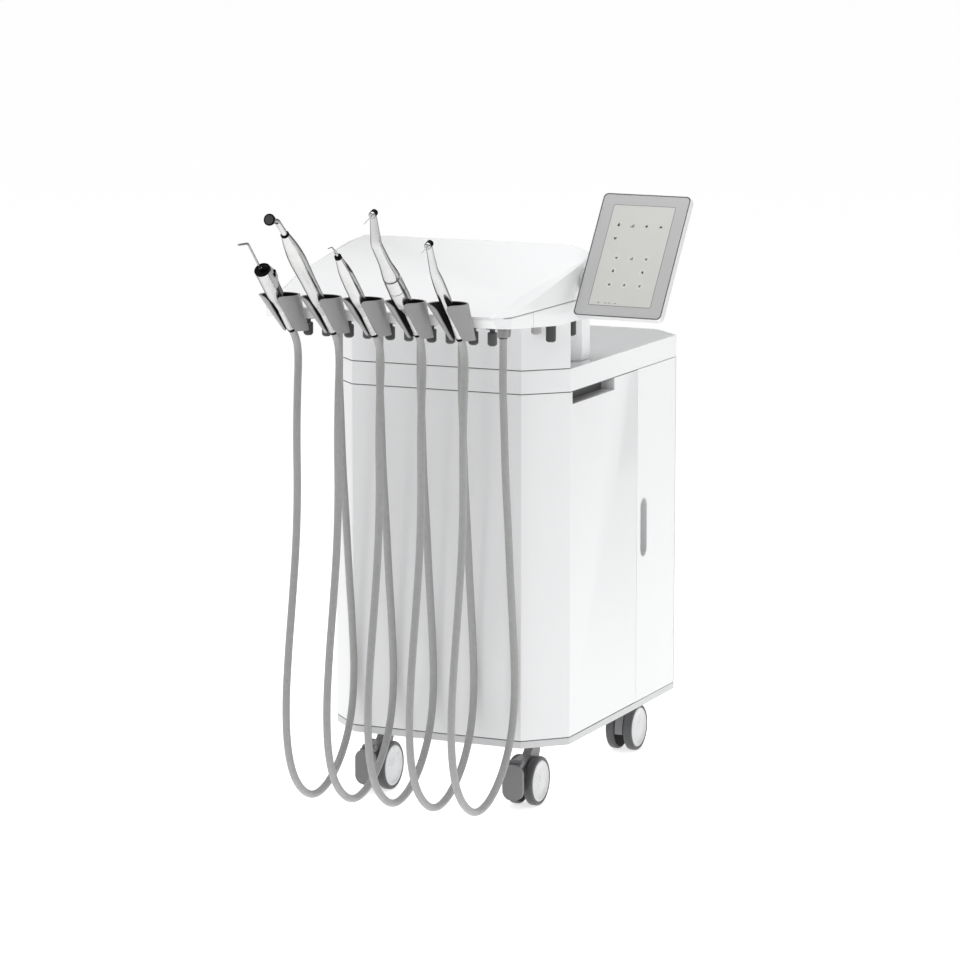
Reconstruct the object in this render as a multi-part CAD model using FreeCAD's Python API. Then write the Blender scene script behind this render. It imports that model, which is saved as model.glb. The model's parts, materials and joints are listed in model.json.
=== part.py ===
import FreeCAD, Part
import math
import os

# Portable dental unit: a cabinet on four twin-wheel casters, a wide delivery head with five
# instruments in cups, and a touch panel on the head's right side. Millimetres, +Z up. The front,
# where the instruments hang, faces -Y. The origin is on the floor under the middle of the cabinet.

# Fits
running_gap = 0.05          # radial clearance of a shaft in its bore
seat_gap = 0.3              # between pieces of two bodies that rest on each other
door_gap = 1.0              # round the door

# Cabinet
cabinet_width = 414.0
cabinet_depth = 574.0
corner_cut = 59.0           # what each 45 degree corner takes off the width and off the depth
corner_round = 3.0
wall = 4.0
floor_clearance = 107.0     # floor to the underside of the base plate
base_thick = 11.0
panel_height = 560.0
rim_height = 36.0
fascia_height = 76.0
seam_height = 1.6           # dark reveal line between two casings
seam_depth = 1.2
post_size = 16.0            # uprights of the frame
post_inset = 20.0           # from the corner cut to the middle of an upright

# Rim band and worktop
flange_width = 30.0
flange_thick = 4.0
shelf_width = 14.0
shelf_thick = 4.0
worktop_thick = 4.0
worktop_drop = 1.5          # worktop surface below the rim's top
worktop_gap = 0.4

# Grip recess in each side, right under the rim band
grip_front = 67.0           # from the cabinet's front face to the recess
grip_length = 174.0
grip_height = 21.0
grip_depth = 24.0
grip_wall = 3.0

# Service door in the right side
door_front = 341.0          # from the cabinet's front face to the door's free edge
hinge_setback = 4.5         # from the rear corner to the hinge axis
knuckle_radius = 3.5
hinge_pin_radius = 2.0
hinge_pin_length = 3.4
pull_width = 30.0
pull_height = 100.0
pull_setback = 30.7         # from the door's free edge to the middle of the pull
pull_level = 291.5          # from the base plate to the middle of the pull
pull_depth = 12.0
pull_wall = 2.0

# Rear vents
vent_count = 8
vent_length = 150.0
vent_height = 5.0
vent_pitch = 14.0
vent_level = 60.0           # from the base plate to the lowest vent

# Column under the head
column_inset = 23.0         # column's side inside the cabinet's side
column_depth = 92.0
column_setback = 13.0       # column's rear ahead of the head's rear edge
column_cut = 59.0
column_foot_height = 2.0
column_foot_inset = 2.0
deck_margin = 2.0           # deck past the column's rear
deck_slant = 56.0           # how far forward the deck's rear edge runs at the sides

# Delivery head
head_front_half = 190.6     # half width at the front edge
head_shoulder_half = 209.0
head_side_half = 213.0
head_rear_half = 185.0
head_reach = 213.0          # front edge ahead of the cabinet's front face
shoulder_setback = 35.0     # from the front edge to the front shoulder
head_side_length = 308.0    # from the shoulder to the rear shoulder
head_tail_length = 75.0
tray_height = 33.0
tray_rise = 18.0            # how much the underside rises from the cabinet to the front edge
front_lip = 3.0
ridge_half = 181.4
ridge_height = 81.2         # ridge above the tray
ridge_setback = 332.0       # ridge behind the front edge
crest_half = 217.8
crest_height = 66.6
crest_setback = 343.0
right_break = (200.6, 87.0, 25.7)      # half width, behind the front edge, above the tray
left_break = (200.6, 135.7, 40.6)
tray_joint = 117.0          # upright joint in the tray's sides, behind the front edge
cable_hole_half = 110.0
cable_hole_depth = 50.0

# Holder rail and cups
rail_depth = 18.0
rail_height = 15.0
rail_undercut = 11.0
cup_pitch = 71.0
cup_count = 5
cup_top_radius = 32.0
cup_bottom_radius = 20.0
cup_wall = 2.8
cup_height = 61.5
cup_lean = 55.5             # how far the cup's mouth stands ahead of its foot
cup_foot = 5.0              # foot centre behind the front edge
cup_drop = 0.6              # foot below the head's underside
slot_width = 16.4
slot_round = 10.0           # corners of the slot at the mouth
saddle_width = 24.0

# Instruments. A place is where the axis passes the cup: ahead of the head's front edge and above
# the cup's mouth. Profiles are (height, radius) along the axis from there, and head points are
# (forward, up) from there.
tail_radius = 7.3
boot_radius = 6.5
boot_length = 3.0
hose_radius = 6.0
hose_lead = 11.0            # straight run of the hose out of a tail

syringe_place = (69.0, 4.1)
syringe_lean = 43.7
syringe_roll = -70.0
syringe_tail = 88.0
syringe_top = 54.0
syringe_profile = ((-44.0, 7.3), (-36.0, 7.3), (-18.0, 9.2), (-8.0, 11.2), (4.0, 12.2), (54.0, 12.5))
cap_radius = 12.8
cap_height = 2.0
lever_half = 9.0
lever_outline = ((0.0, 54.0), (10.8, 54.0), (13.6, 46.0), (16.0, 38.0), (16.6, 31.0), (15.4, 24.0),
                 (13.2, 17.0), (12.6, 8.0), (12.6, -10.0), (0.0, -10.0))
lock_nut_radius = 4.8
lock_nut_offset = 5.6
lock_nut_height = 6.5
nozzle_offset = 1.5
nozzle_radius = 1.7
nozzle_collar_radius = 2.2
nozzle_collar_height = 6.0
nozzle_seat = 6.0
nozzle_bend_radius = 9.0
nozzle_bend = (84.0, 84.0)
nozzle_end = (115.0, 85.0)
button_radius = 2.9
button_spread = 3.7         # middle of each button beside the lever's middle
button_level = 42.0
button_top = 17.4
button_length = 9.6
button_travel = 2.0

lamp_place = (66.0, 1.1)
lamp_lean = 44.5
lamp_tail = 86.0
lamp_profile = ((-44.0, 7.3), (-36.0, 7.4), (-20.0, 9.0), (-10.0, 10.3), (0.0, 11.1), (20.0, 11.4), (40.0, 11.7),
                (60.0, 12.4), (78.0, 13.0), (90.0, 13.1), (104.0, 12.4), (118.0, 11.0), (130.0, 9.3), (140.0, 7.6),
                (148.5, 5.6))
lamp_neck_radius = 4.2
lamp_neck_rise = 10.0
lamp_neck_bend_radius = 9.0
lamp_neck_bend = (128.0, 127.0)
lamp_neck_end = (150.0, 131.5)
lamp_disc_radius = 9.0
lamp_disc_front = 5.0
lamp_disc_back = 3.0

scaler_place = (69.0, 4.1)
scaler_lean = 43.7
scaler_tail = 89.0
scaler_profile = ((-44.0, 7.3), (-36.0, 7.3), (-18.0, 9.0), (-8.0, 10.5), (0.0, 11.3), (20.0, 11.3), (38.0, 11.1),
                  (53.0, 10.5), (64.0, 9.6), (72.0, 8.5), (83.0, 6.5), (94.0, 5.2))
hook_collar_radius = 5.2
hook_collar_height = 3.0
hook_stub_radius = 3.2
hook_stub_height = 9.0
hook_radius = 0.9
hook_bend_radius = 4.0
hook_bend = (86.0, 85.0)
hook_end = (99.0, 84.0)

contra_place = (59.0, 1.1)
contra_lean = 43.7
contra_tail = 80.0
motor_profile = ((-36.0, 7.3), (-26.0, 7.6), (-14.0, 10.6), (-4.0, 13.3), (6.0, 14.3), (20.0, 14.4), (36.0, 13.9),
                 (56.0, 13.6))
contra_profile = ((56.0, 13.2), (64.0, 12.7), (72.0, 11.6), (82.0, 10.2), (92.0, 9.4), (105.0, 9.0), (132.0, 8.4))
contra_head = (101.0, 141.0)
contra_bur_length = 26.0

turbine_place = (50.0, -4.9)
turbine_lean = 39.8
turbine_tail = 71.0
turbine_profile = ((-36.0, 7.0), (-20.0, 7.2), (-6.0, 8.3), (10.0, 9.1), (24.0, 9.3), (40.0, 9.1), (58.0, 8.5),
                   (69.0, 7.6), (76.8, 6.7))
turbine_head = (67.5, 100.0)
turbine_bur_length = 20.0

drum_radius = 5.4
drum_length = 14.0
neck_end_radius = 4.9
bur_radius = 0.8
bur_seat = 6.0
bur_direction = (0.93, -0.37)           # forward and up

# Hose clamps and valves under the head
socket_setback = 57.0       # ahead of the cabinet's front face
socket_drop = 16.0          # clamp's lower end below the head's flat underside
socket_half = 7.2
socket_ahead = 7.0          # clamp ahead of the hose's axis
socket_behind = 17.0
socket_taper = 4.0
socket_flange = 1.0         # flange past the clamp
socket_flange_thick = 4.0
valve_setback = 134.0
valve_spread = 16.0
valve_bottom_drop = 18.5    # valve's lower end below the head's flat underside
valve_height = 21.0
valve_radius = 7.5
valve_neck_radius = 4.2
valve_chamfer = 2.2
collar_radius = 11.0
collar_thick = 3.4
stem_radius = 3.0
clip_radius = 5.6
clip_thick = 1.4
clip_rise = 5.4             # clip above the collar's underside, inside the tray
side_valves = ((193.0, 12.0, 28.0), (191.0, 98.0, 28.0), (185.0, -27.0, 14.0))
side_valve_radius = 8.0
side_valve_root = 9.0

# Touch panel: place of its lower edge, from the cabinet's front face and the head's underside
tablet_reach = 82.6         # from the head's side to the middle of the panel
tablet_setback = 30.0
tablet_rise = 13.6
tablet_width = 152.0
tablet_height = 214.5
tablet_thick = 12.0
tablet_corner = 8.0
tablet_yaw = -3.5
tablet_lean = 31.8
glass_thick = 1.4
glass_margin = 2.2
tilt_level = 70.0           # hinge axis above the lower edge, along the panel
tilt_offset = 9.0           # hinge axis behind the panel's back
tilt_pin_radius = 4.0
arm_radius = 7.0
ear_thick = 8.0
ear_radius = 8.4
ear_spacing = 32.0
ear_inset = 26.0            # from the panel's edge to the first ear
bracket_pad_radius = 18.0
bracket_pad_clear = 3.0     # pad to the panel's edge
bracket_length = 40.0

# Casters
caster_inset = 76.0         # stem inside the cabinet's side
front_stem_setback = 88.0   # from the cabinet's front face
rear_stem_setback = 510.0
caster_trail = 21.0
wheel_radius = 40.0
hub_radius = 33.5
wheel_width = 15.0
wheel_spacing = 17.0        # clear space between the twin wheels
tyre_round = 4.0
fork_width = 14.0
axle_radius = 4.0
boss_radius = 12.0
hood_radius = 37.0
hood_drop = 8.0             # hood's lower end below the axle
collar_height = 11.0
caster_collar_radius = 13.0
caster_stem_radius = 6.0
pedal_width = 35.0
pedal_thick = 7.0
pedal_round = 15.0
pedal_low = 19.0
pedal_high = 77.0
pedal_reach = 83.0          # from the stem to the pedal's outer face
pedal_pivot_reach = 65.0
pedal_pivot_level = 76.0
pedal_pin_radius = 2.5
pedal_ear = 4.0
nose_radius = 6.5

# Inside the cabinet
tank_radius = 78.0
tank_length = 300.0
tank_wall = 3.0
tank_round = 30.0
tank_inset = 137.0          # tank's axis inside the cabinet's left side
tank_rear = 110.0
saddle_height = 14.0
foot_half = 55.0
foot_thick = 20.0
foot_inset = 60.0
foot_bite = 48.0            # how far the feet reach up round the tank
pump_size = (96.0, 150.0, 70.0)
pump_bite = 8.0
cylinder_spread = 38.0
cylinder_radius = 30.0
cylinder_height = 46.0
fin_count = 4
fin_reach = 6.0
fin_pitch = 10.0
fin_thick = 4.0
bottle_radius = 42.0
bottle_height = 180.0
bottle_inset = 79.0         # bottle's axis inside the cabinet's right side
bottle_y = 150.0
bottle_shoulder = 24.0
bottle_neck_radius = 15.0
bottle_neck_height = 8.0
bottle_cap_radius = 19.0
bottle_cap_height = 18.0
control_clear = 10.0        # between the box and the frame's uprights
control_depth = 50.0
control_height = 160.0
control_level = 290.0       # from the base plate
inlet_width = 50.0
inlet_height = 30.0
inlet_level = 40.0          # inlet centre above the box's lower face
inlet_socket = (26.0, 18.0, 16.0)

# Levels and lines that follow
z_plinth = floor_clearance + base_thick
z_panel = z_plinth + panel_height
z_rim = z_panel + rim_height
z_head = z_rim + fascia_height
z_seam = z_head + tray_height
z_worktop = z_rim - worktop_drop
half_width = cabinet_width / 2
half_depth = cabinet_depth / 2
front_corner_y = -half_depth + corner_cut
rear_corner_y = half_depth - corner_cut
head_front_y = -half_depth - head_reach
shoulder_y = head_front_y + shoulder_setback
rear_shoulder_y = shoulder_y + head_side_length
head_rear_y = rear_shoulder_y + head_tail_length
tray_front_y = head_front_y + rail_depth
cup_foot_y = head_front_y + cup_foot
z_cup_foot = z_head - cup_drop
z_cup_mouth = z_cup_foot + cup_height
hinge_x = half_width - knuckle_radius
hinge_y = rear_corner_y - hinge_setback
column_half = half_width - column_inset
column_rear = head_rear_y - column_setback
post_x = half_width - corner_cut - post_inset
control_half = post_x - post_size / 2 - control_clear
deck_rear = column_rear + deck_margin
far = 2000.0

V = FreeCAD.Vector


def box(x0, x1, y0, y1, z0, z1):
    return Part.makeBox(x1 - x0, y1 - y0, z1 - z0, V(x0, y0, z0))


def rod(start, end, radius):
    """Cylinder from one point to another."""
    along = end - start
    return Part.makeCylinder(radius, along.Length, start, along)


def prism(points, low, high):
    """Upright prism on a plan polygon."""
    corners = [V(x, y, low) for x, y in points]
    return Part.Face(Part.makePolygon(corners + corners[:1])).extrude(V(0, 0, high - low))


def side_prism(points, x0, x1):
    """Prism along X on a polygon of (y, z) points."""
    corners = [V(x0, y, z) for y, z in points]
    return Part.Face(Part.makePolygon(corners + corners[:1])).extrude(V(x1 - x0, 0, 0))


def turned(profile):
    """Solid of revolution about Z from (height, radius) points that start and end on the axis."""
    corners = [V(radius, 0, height) for height, radius in profile]
    face = Part.Face(Part.makePolygon(corners + corners[:1]))
    return face.revolve(V(0, 0, 0), V(0, 0, 1), 360)


def stadium(width, height, x0, x1, y, z):
    """Upright slot shape along X, with half-round ends."""
    straight = (height - width) / 2
    middle = box(x0, x1, y - width / 2, y + width / 2, z - straight, z + straight)
    ends = [rod(V(x0, y, z + side * straight), V(x1, y, z + side * straight), width / 2) for side in (-1, 1)]
    return middle.multiFuse(ends).removeSplitter()


def rounded_upright(solid, radius):
    """Round every upright edge of a prism."""
    upright = [edge for edge in solid.Edges if abs(edge.tangentAt(edge.FirstParameter).z) > 0.99]
    return solid.makeFillet(radius, upright)


def placed(shape, base, rotation):
    moved = shape.copy()
    moved.Placement = FreeCAD.Placement(base, rotation).multiply(shape.Placement)
    return moved


# ---- cabinet ----

def outline(inset):
    """Corners of the cabinet's eight-sided plan, moved in by inset."""
    half_x = half_width - inset
    half_y = half_depth - inset
    leg = corner_cut - inset * (2 - math.sqrt(2))
    quarter = [(half_x - leg, half_y), (half_x, half_y - leg)]
    right = [(x, -y) for x, y in quarter] + quarter[::-1]
    return right + [(-x, y) for x, y in right[::-1]]


def full_plan(low, high):
    return rounded_upright(prism(outline(0), low, high), corner_round)


def ring(low, high, outer_inset, width):
    """Band that follows the cabinet's plan."""
    return prism(outline(outer_inset), low, high).cut(prism(outline(outer_inset + width), low - 1, high + 1))


def reveal(low):
    """Cut for the dark line round the cabinet."""
    outer = box(-far, far, -far, far, low, low + seam_height)
    return outer.cut(prism(outline(seam_depth), low - 1, low + seam_height + 1))


def casing(low, high):
    """Outer wall all round, with a reveal line at its lower edge."""
    skin = full_plan(low, high).cut(prism(outline(wall), low - 1, high + 1))
    return skin.cut(reveal(low))


def panels_wall():
    return casing(z_plinth, z_panel).cut(reveal(z_panel - seam_height))


def base_frame():
    plate = full_plan(floor_clearance, z_plinth)
    post_y = half_depth - wall - post_size / 2
    posts = []
    for side_x in (-1, 1):
        for side_y in (-1, 1):
            x = side_x * post_x
            y = side_y * post_y
            half = post_size / 2
            posts.append(box(x - half, x + half, y - half, y + half, z_plinth, z_panel))
    frame = plate.multiFuse(posts).removeSplitter()
    for name, x, y in caster_places():
        bore = caster_stem_radius + running_gap
        frame = frame.cut(rod(V(x, y, floor_clearance - 1), V(x, y, z_plinth + 1), bore))
    pin_bore = hinge_pin_radius + running_gap
    deep = z_plinth - hinge_pin_length - seat_gap
    return frame.cut(rod(V(hinge_x, hinge_y, deep), V(hinge_x, hinge_y, z_plinth + 1), pin_bore))


def front_panel():
    return panels_wall().common(box(-far, far, -far, front_corner_y, 0, far))


def rear_panel():
    wall_piece = panels_wall().common(box(-far, far, rear_corner_y, far, 0, far))
    for index in range(vent_count):
        z = z_plinth + vent_level + index * vent_pitch
        half = vent_length / 2
        wall_piece = wall_piece.cut(box(-half, half, half_depth - 2 * wall, far, z, z + vent_height))
    inlet = inlet_block(running_gap)
    return wall_piece.cut(inlet)


def grip_tub(side):
    """Moulded recess for the fingers; side is 1 on the right and -1 on the left."""
    y0 = -half_depth + grip_front
    y1 = y0 + grip_length
    floor = z_panel - grip_height
    deep = half_width - grip_depth
    inner = box(deep, half_width + 1, y0, y1, floor, z_panel + 1)
    outer = box(deep - grip_wall, half_width - wall, y0 - grip_wall, y1 + grip_wall, floor - grip_wall, z_panel)
    if side < 0:
        inner = inner.mirror(V(0, 0, 0), V(1, 0, 0))
        outer = outer.mirror(V(0, 0, 0), V(1, 0, 0))
    return outer, inner


def side_panel(side, y_end):
    low_x, high_x = sorted((0, side * far))
    flat = panels_wall().common(box(low_x, high_x, front_corner_y, y_end, 0, far))
    outer, inner = grip_tub(side)
    return flat.fuse(outer).cut(inner).removeSplitter()


def right_panel():
    return side_panel(1, -half_depth + door_front)


def left_panel():
    return side_panel(-1, rear_corner_y)


def pull_centre():
    y = -half_depth + door_front + pull_setback
    return y, z_plinth + pull_level


def side_door():
    low = z_plinth + door_gap
    high = z_panel - door_gap
    y0 = -half_depth + door_front + door_gap
    plate = box(half_width - wall, half_width, y0, hinge_y, low, high)
    knuckle = rod(V(hinge_x, hinge_y, low), V(hinge_x, hinge_y, high), knuckle_radius)
    pin_low = V(hinge_x, hinge_y, z_plinth - hinge_pin_length)
    pin_high = V(hinge_x, hinge_y, z_panel + hinge_pin_length)
    leaf = plate.multiFuse([knuckle, rod(pin_low, pin_high, hinge_pin_radius)]).removeSplitter()
    y, z = pull_centre()
    return leaf.cut(stadium(pull_width, pull_height, half_width - 2 * wall, half_width + 1, y, z))


def door_pull():
    y, z = pull_centre()
    back = half_width - pull_depth - pull_wall
    shell = stadium(pull_width, pull_height, back, half_width, y, z)
    inner_width = pull_width - 2 * pull_wall
    inner_height = pull_height - 2 * pull_wall
    return shell.cut(stadium(inner_width, inner_height, back + pull_wall, half_width + 1, y, z))


def rim_band():
    wall_ring = full_plan(z_panel, z_rim).cut(prism(outline(wall), z_panel - 1, z_rim + 1))
    flange = ring(z_panel, z_panel + flange_thick, wall, flange_width)
    shelf_top = z_worktop - worktop_thick
    shelf = ring(shelf_top - shelf_thick, shelf_top, wall, shelf_width)
    band = wall_ring.multiFuse([flange, shelf]).removeSplitter()
    top = z_panel + hinge_pin_length + seat_gap
    bore = rod(V(hinge_x, hinge_y, z_panel - 1), V(hinge_x, hinge_y, top), hinge_pin_radius + running_gap)
    return band.cut(bore)


def top_plate():
    return prism(outline(wall + worktop_gap), z_worktop - worktop_thick, z_worktop)


def behind_deck(gap):
    """Everything behind the deck's rear edge, whose ends run forward beside the column."""
    edge = [(half_width, deck_rear - deck_slant + gap), (column_half, deck_rear + gap)]
    left = [(-x, y) for x, y in edge[::-1]]
    return prism(edge + left + [(-half_width, far), (half_width, far)], 0, far)


def front_deck():
    """White plate under the column, with a hole for the lines that come up from the cabinet."""
    return top_plate().cut(behind_deck(0)).cut(cable_hole(0, far))


def worktop():
    return top_plate().common(behind_deck(worktop_gap))


def front_fascia():
    """Upright casing between rim and head, and the deck behind it as a solid of its own."""
    upright = casing(z_rim, z_head).common(box(-far, far, -far, front_corner_y, 0, far))
    return Part.makeCompound([upright, front_deck()])


def column_plan(inset):
    half = column_half - inset
    front = column_rear - column_depth + inset
    cut = column_cut - inset * (2 - math.sqrt(2))
    right = [(half - cut, front), (half, front + cut), (half, column_rear - inset)]
    return right + [(-x, y) for x, y in right[::-1]]


def cable_hole(low, high):
    middle = column_rear - column_depth / 2
    return box(-cable_hole_half, cable_hole_half, middle - cable_hole_depth / 2, middle + cable_hole_depth / 2,
               low, high)


def head_column():
    foot_top = z_worktop + column_foot_height
    foot = prism(column_plan(column_foot_inset), z_worktop, foot_top)
    body = prism(column_plan(0), foot_top, z_head)
    return body.fuse(foot).cut(prism(column_plan(wall + column_foot_inset), z_worktop - 1, z_head + 1))


# ---- delivery head ----

def head_plan(inset, front_y):
    """Plan of the head from its front line back; the front corners are cut by the front line."""
    slope = (head_shoulder_half - head_front_half) / shoulder_setback
    front_half = head_front_half + slope * (front_y - head_front_y)
    right = [(front_half - inset, front_y + inset), (head_shoulder_half - inset, shoulder_y + inset),
             (head_side_half - inset, rear_shoulder_y), (head_rear_half - inset, head_rear_y - inset)]
    return right + [(-x, y) for x, y in right[::-1]]


def underside(y):
    """Level of the head's underside: flat over the cabinet, rising to the front edge."""
    return z_head + tray_rise * max(0.0, -half_depth - y) / head_reach


def below_head(lift):
    """Everything under the head's underside, moved up by lift."""
    ahead_y = head_front_y - head_reach
    points = [(far, -1.0), (far, z_head + lift), (-half_depth, z_head + lift),
              (ahead_y, underside(ahead_y) + lift), (ahead_y, -1.0)]
    return side_prism(points, -far, far)


def head_tray():
    outer = prism(head_plan(0, tray_front_y), z_head, z_seam).cut(below_head(0))
    inner = prism(head_plan(wall, tray_front_y), z_head, z_seam + 1).cut(below_head(wall))
    joint_y = head_front_y + tray_joint
    lines = box(-far, far, tray_front_y + wall, far, z_seam - seam_height, z_seam).fuse(
        box(-far, far, joint_y, joint_y + seam_height, z_head, z_seam))
    lines = lines.cut(prism(head_plan(seam_depth, tray_front_y), z_head - 1, z_seam + 1))
    tray = outer.cut(inner).cut(lines).cut(cable_hole(z_head - 1, z_seam))
    for x, y in flow_places():
        tray = tray.cut(rod(V(x, y, z_head), V(x, y, z_seam), stem_radius + running_gap))
    return tray


def cover_solid(inset):
    """Facetted upper shell; its lower face lies on the tray."""
    low = z_seam - (1.0 if inset else 0.0)
    base = [V(x, y, low) for x, y in head_plan(inset, head_front_y)]
    lip = V(head_front_half - inset, head_front_y + inset, z_seam + front_lip - inset)
    ridge = V(ridge_half - inset, head_front_y + ridge_setback, z_seam + ridge_height - inset)
    crest = V(crest_half - inset, head_front_y + crest_setback, z_seam + crest_height - inset)
    half, setback, rise = right_break
    break_right = V(half - inset, head_front_y + setback + inset, z_seam + rise - inset)
    half, setback, rise = left_break
    break_left = V(-half + inset, head_front_y + setback + inset, z_seam + rise - inset)
    mirror = [V(-point.x, point.y, point.z) for point in (lip, ridge, crest)]
    front, shoulder, rear_shoulder, rear = base[:4]
    rear_left, rear_shoulder_left, shoulder_left, front_left = base[4:]
    lip_left, ridge_left, crest_left = mirror
    faces = [
        base,
        [front, lip, lip_left, front_left],
        [front, shoulder, lip],
        [lip, shoulder, break_right],
        [shoulder, crest, break_right],
        [shoulder, rear_shoulder, crest],
        [rear_shoulder, rear, crest],
        [crest, rear, ridge],
        [break_right, crest, ridge],
        [ridge, rear, rear_left, ridge_left],
        [lip, break_right, lip_left],
        [break_right, break_left, lip_left],
        [break_right, ridge, ridge_left],
        [break_right, ridge_left, break_left],
        [break_left, ridge_left, crest_left],
        [ridge_left, rear_left, crest_left],
        [crest_left, rear_left, rear_shoulder_left],
        [crest_left, rear_shoulder_left, shoulder_left],
        [break_left, crest_left, shoulder_left],
        [break_left, shoulder_left, lip_left],
        [lip_left, shoulder_left, front_left],
    ]
    shell = Part.Shell([Part.Face(Part.makePolygon(face + face[:1])) for face in faces])
    solid = Part.Solid(shell)
    if solid.Volume < 0:
        solid.reverse()
    return solid


def head_cover():
    return cover_solid(0).cut(cover_solid(wall))


def holder_rail():
    plan = [point for point in head_plan(0, head_front_y) if point[1] <= head_front_y + 0.01]
    back = [point for point in head_plan(0, tray_front_y) if point[1] <= tray_front_y + 0.01]
    corners = [plan[0], back[0], back[1], plan[1]]
    bar = prism(corners, z_seam - rail_height, z_seam)
    line = box(-far, far, head_front_y - 1, head_front_y + seam_depth, z_seam - seam_height, z_seam)
    undercut = side_prism([(head_front_y - 1, z_seam - rail_height - 1), (head_front_y - 1, z_seam),
                           (head_front_y, z_seam),
                           (head_front_y + rail_undercut * (rail_height + 1) / rail_height, z_seam - rail_height - 1)],
                          -far, far)
    return bar.cut(undercut).cut(line)


def cup_places():
    return [cup_pitch * (index - (cup_count - 1) / 2) for index in range(cup_count)]


def cup_cone(x, shrink, stretch):
    """Slanted cone with level circles, between the foot and the mouth; stretch runs past both."""
    loops = []
    for share in (-stretch, 1 + stretch):
        radius = cup_bottom_radius + (cup_top_radius - cup_bottom_radius) * share - shrink
        centre = V(x, cup_foot_y - cup_lean * share, z_cup_foot + cup_height * share)
        loops.append(Part.Wire(Part.makeCircle(radius, centre)))
    return Part.makeLoft(loops, True, True)


def cup_slot(x):
    """Front opening of a cup, with rounded corners at the mouth."""
    low = z_cup_foot - 1
    high = z_cup_mouth + 1
    turn = z_cup_mouth - slot_round
    near = slot_round * (1 - math.sqrt(0.5))
    half = slot_width / 2
    wide = half + slot_round
    edges = []
    for side in (-1, 1):
        inner = V(x + side * half, 0, turn)
        outer = V(x + side * wide, 0, z_cup_mouth)
        middle = V(x + side * (half + near), 0, z_cup_mouth - near)
        edges.append(Part.makeLine(V(inner.x, 0, low), inner))
        edges.append(Part.Arc(inner, middle, outer).toShape())
        edges.append(Part.makeLine(outer, V(outer.x, 0, high)))
    edges.append(Part.makeLine(V(x - half, 0, low), V(x + half, 0, low)))
    edges.append(Part.makeLine(V(x - wide, 0, high), V(x + wide, 0, high)))
    loop = Part.Wire(Part.__sortEdges__(edges))
    band = Part.Face(loop).extrude(V(0, -far, 0))
    lean = cup_lean / cup_height
    ahead = side_prism([(cup_foot_y + lean, low), (cup_foot_y - cup_lean - lean, high), (-far, high), (-far, low)],
                       x - wide - 1, x + wide + 1)
    return band.common(ahead)


def handpiece_holders():
    head = holder_rail().fuse(box(-far, far, head_front_y, 0, z_seam, far))
    cups = []
    for x in cup_places():
        cavity = cup_cone(x, cup_wall, 0.1)
        half = saddle_width / 2
        saddle = box(x - half, x + half, head_front_y - rail_depth, tray_front_y - rail_depth / 6,
                     z_seam - rail_height + 1, z_seam - 1)
        cup = cup_cone(x, 0, 0.0).fuse(saddle).cut(head).cut(cavity).cut(cup_slot(x))
        cups.append(max(cup.Solids, key=lambda solid: solid.Volume))
    return Part.makeCompound(cups)


def hose_sockets():
    """Clamp blocks under the head; each hose ends in the front part of its clamp."""
    y = -half_depth - socket_setback
    low = z_head - socket_drop
    flange_low = underside(y) - socket_flange_thick
    front = y - socket_ahead
    rear = y + socket_behind
    profile = [(front, flange_low + 1), (rear, flange_low + 1), (rear - socket_taper, low), (front, low)]
    reach = socket_half + socket_flange
    clamps = []
    for x in cup_places():
        block = side_prism(profile, x - socket_half, x + socket_half)
        flange = box(x - reach, x + reach, front - socket_flange, rear + socket_flange, flange_low, z_seam)
        clamps.append(block.fuse(flange.cut(above_underside())).removeSplitter())
    return Part.makeCompound(clamps)


def above_underside():
    return box(-far, far, -far, far, 0, 2 * far).cut(below_head(0))


def valve_places():
    """Two valves for each cup; the first of a pair is a turning flow knob."""
    y = -half_depth - valve_setback
    return [(x - valve_spread, y) for x in cup_places()], [(x + valve_spread, y) for x in cup_places()]


def flow_places():
    return valve_places()[0]


def valve_levels():
    low = z_head - valve_bottom_drop
    y = -half_depth - valve_setback
    return low, low + valve_height, underside(y) - collar_thick


def valve_body(low, high, neck_top):
    """Knob with a chamfered lower end and a slim neck, on the Z axis."""
    profile = [(low, 0), (low, valve_radius - valve_chamfer), (low + valve_chamfer, valve_radius),
               (high, valve_radius), (high, valve_neck_radius), (neck_top, valve_neck_radius), (neck_top, 0)]
    return turned(profile)


def valve_caps():
    low, high, collar_low = valve_levels()
    turning, fixed = valve_places()
    solids = []
    for x, y in turning + fixed:
        collar = rod(V(x, y, collar_low), V(x, y, collar_low + 4 * collar_thick), collar_radius)
        collar = collar.cut(above_underside())
        if (x, y) in turning:
            collar = collar.cut(rod(V(x, y, collar_low - 1), V(x, y, z_seam), stem_radius + running_gap))
        else:
            knob = valve_body(low, high, collar_low)
            knob.translate(V(x, y, 0))
            collar = collar.fuse(knob).removeSplitter()
        solids.append(collar)
    for x, setback, length in side_valves:
        y = -half_depth + setback
        top = underside(y)
        profile = [(top - length, 0), (top - length, side_valve_radius - valve_chamfer),
                   (top - length + valve_chamfer, side_valve_radius), (top + side_valve_root, side_valve_radius),
                   (top + side_valve_root, 0)]
        body = turned(profile)
        body.translate(V(x, y, 0))
        solids.append(body.cut(above_underside()))
    return Part.makeCompound(solids)


def flow_knob(x, y):
    low, high, collar_low = valve_levels()
    body = valve_body(low, high, collar_low - seat_gap)
    clip_low = collar_low + collar_thick + clip_rise
    stem = rod(V(0, 0, high), V(0, 0, clip_low), stem_radius)
    clip = rod(V(0, 0, clip_low), V(0, 0, clip_low + clip_thick), clip_radius)
    knob = body.multiFuse([stem, clip]).removeSplitter()
    knob.translate(V(x, y, 0))
    return knob


# ---- instruments ----

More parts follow.
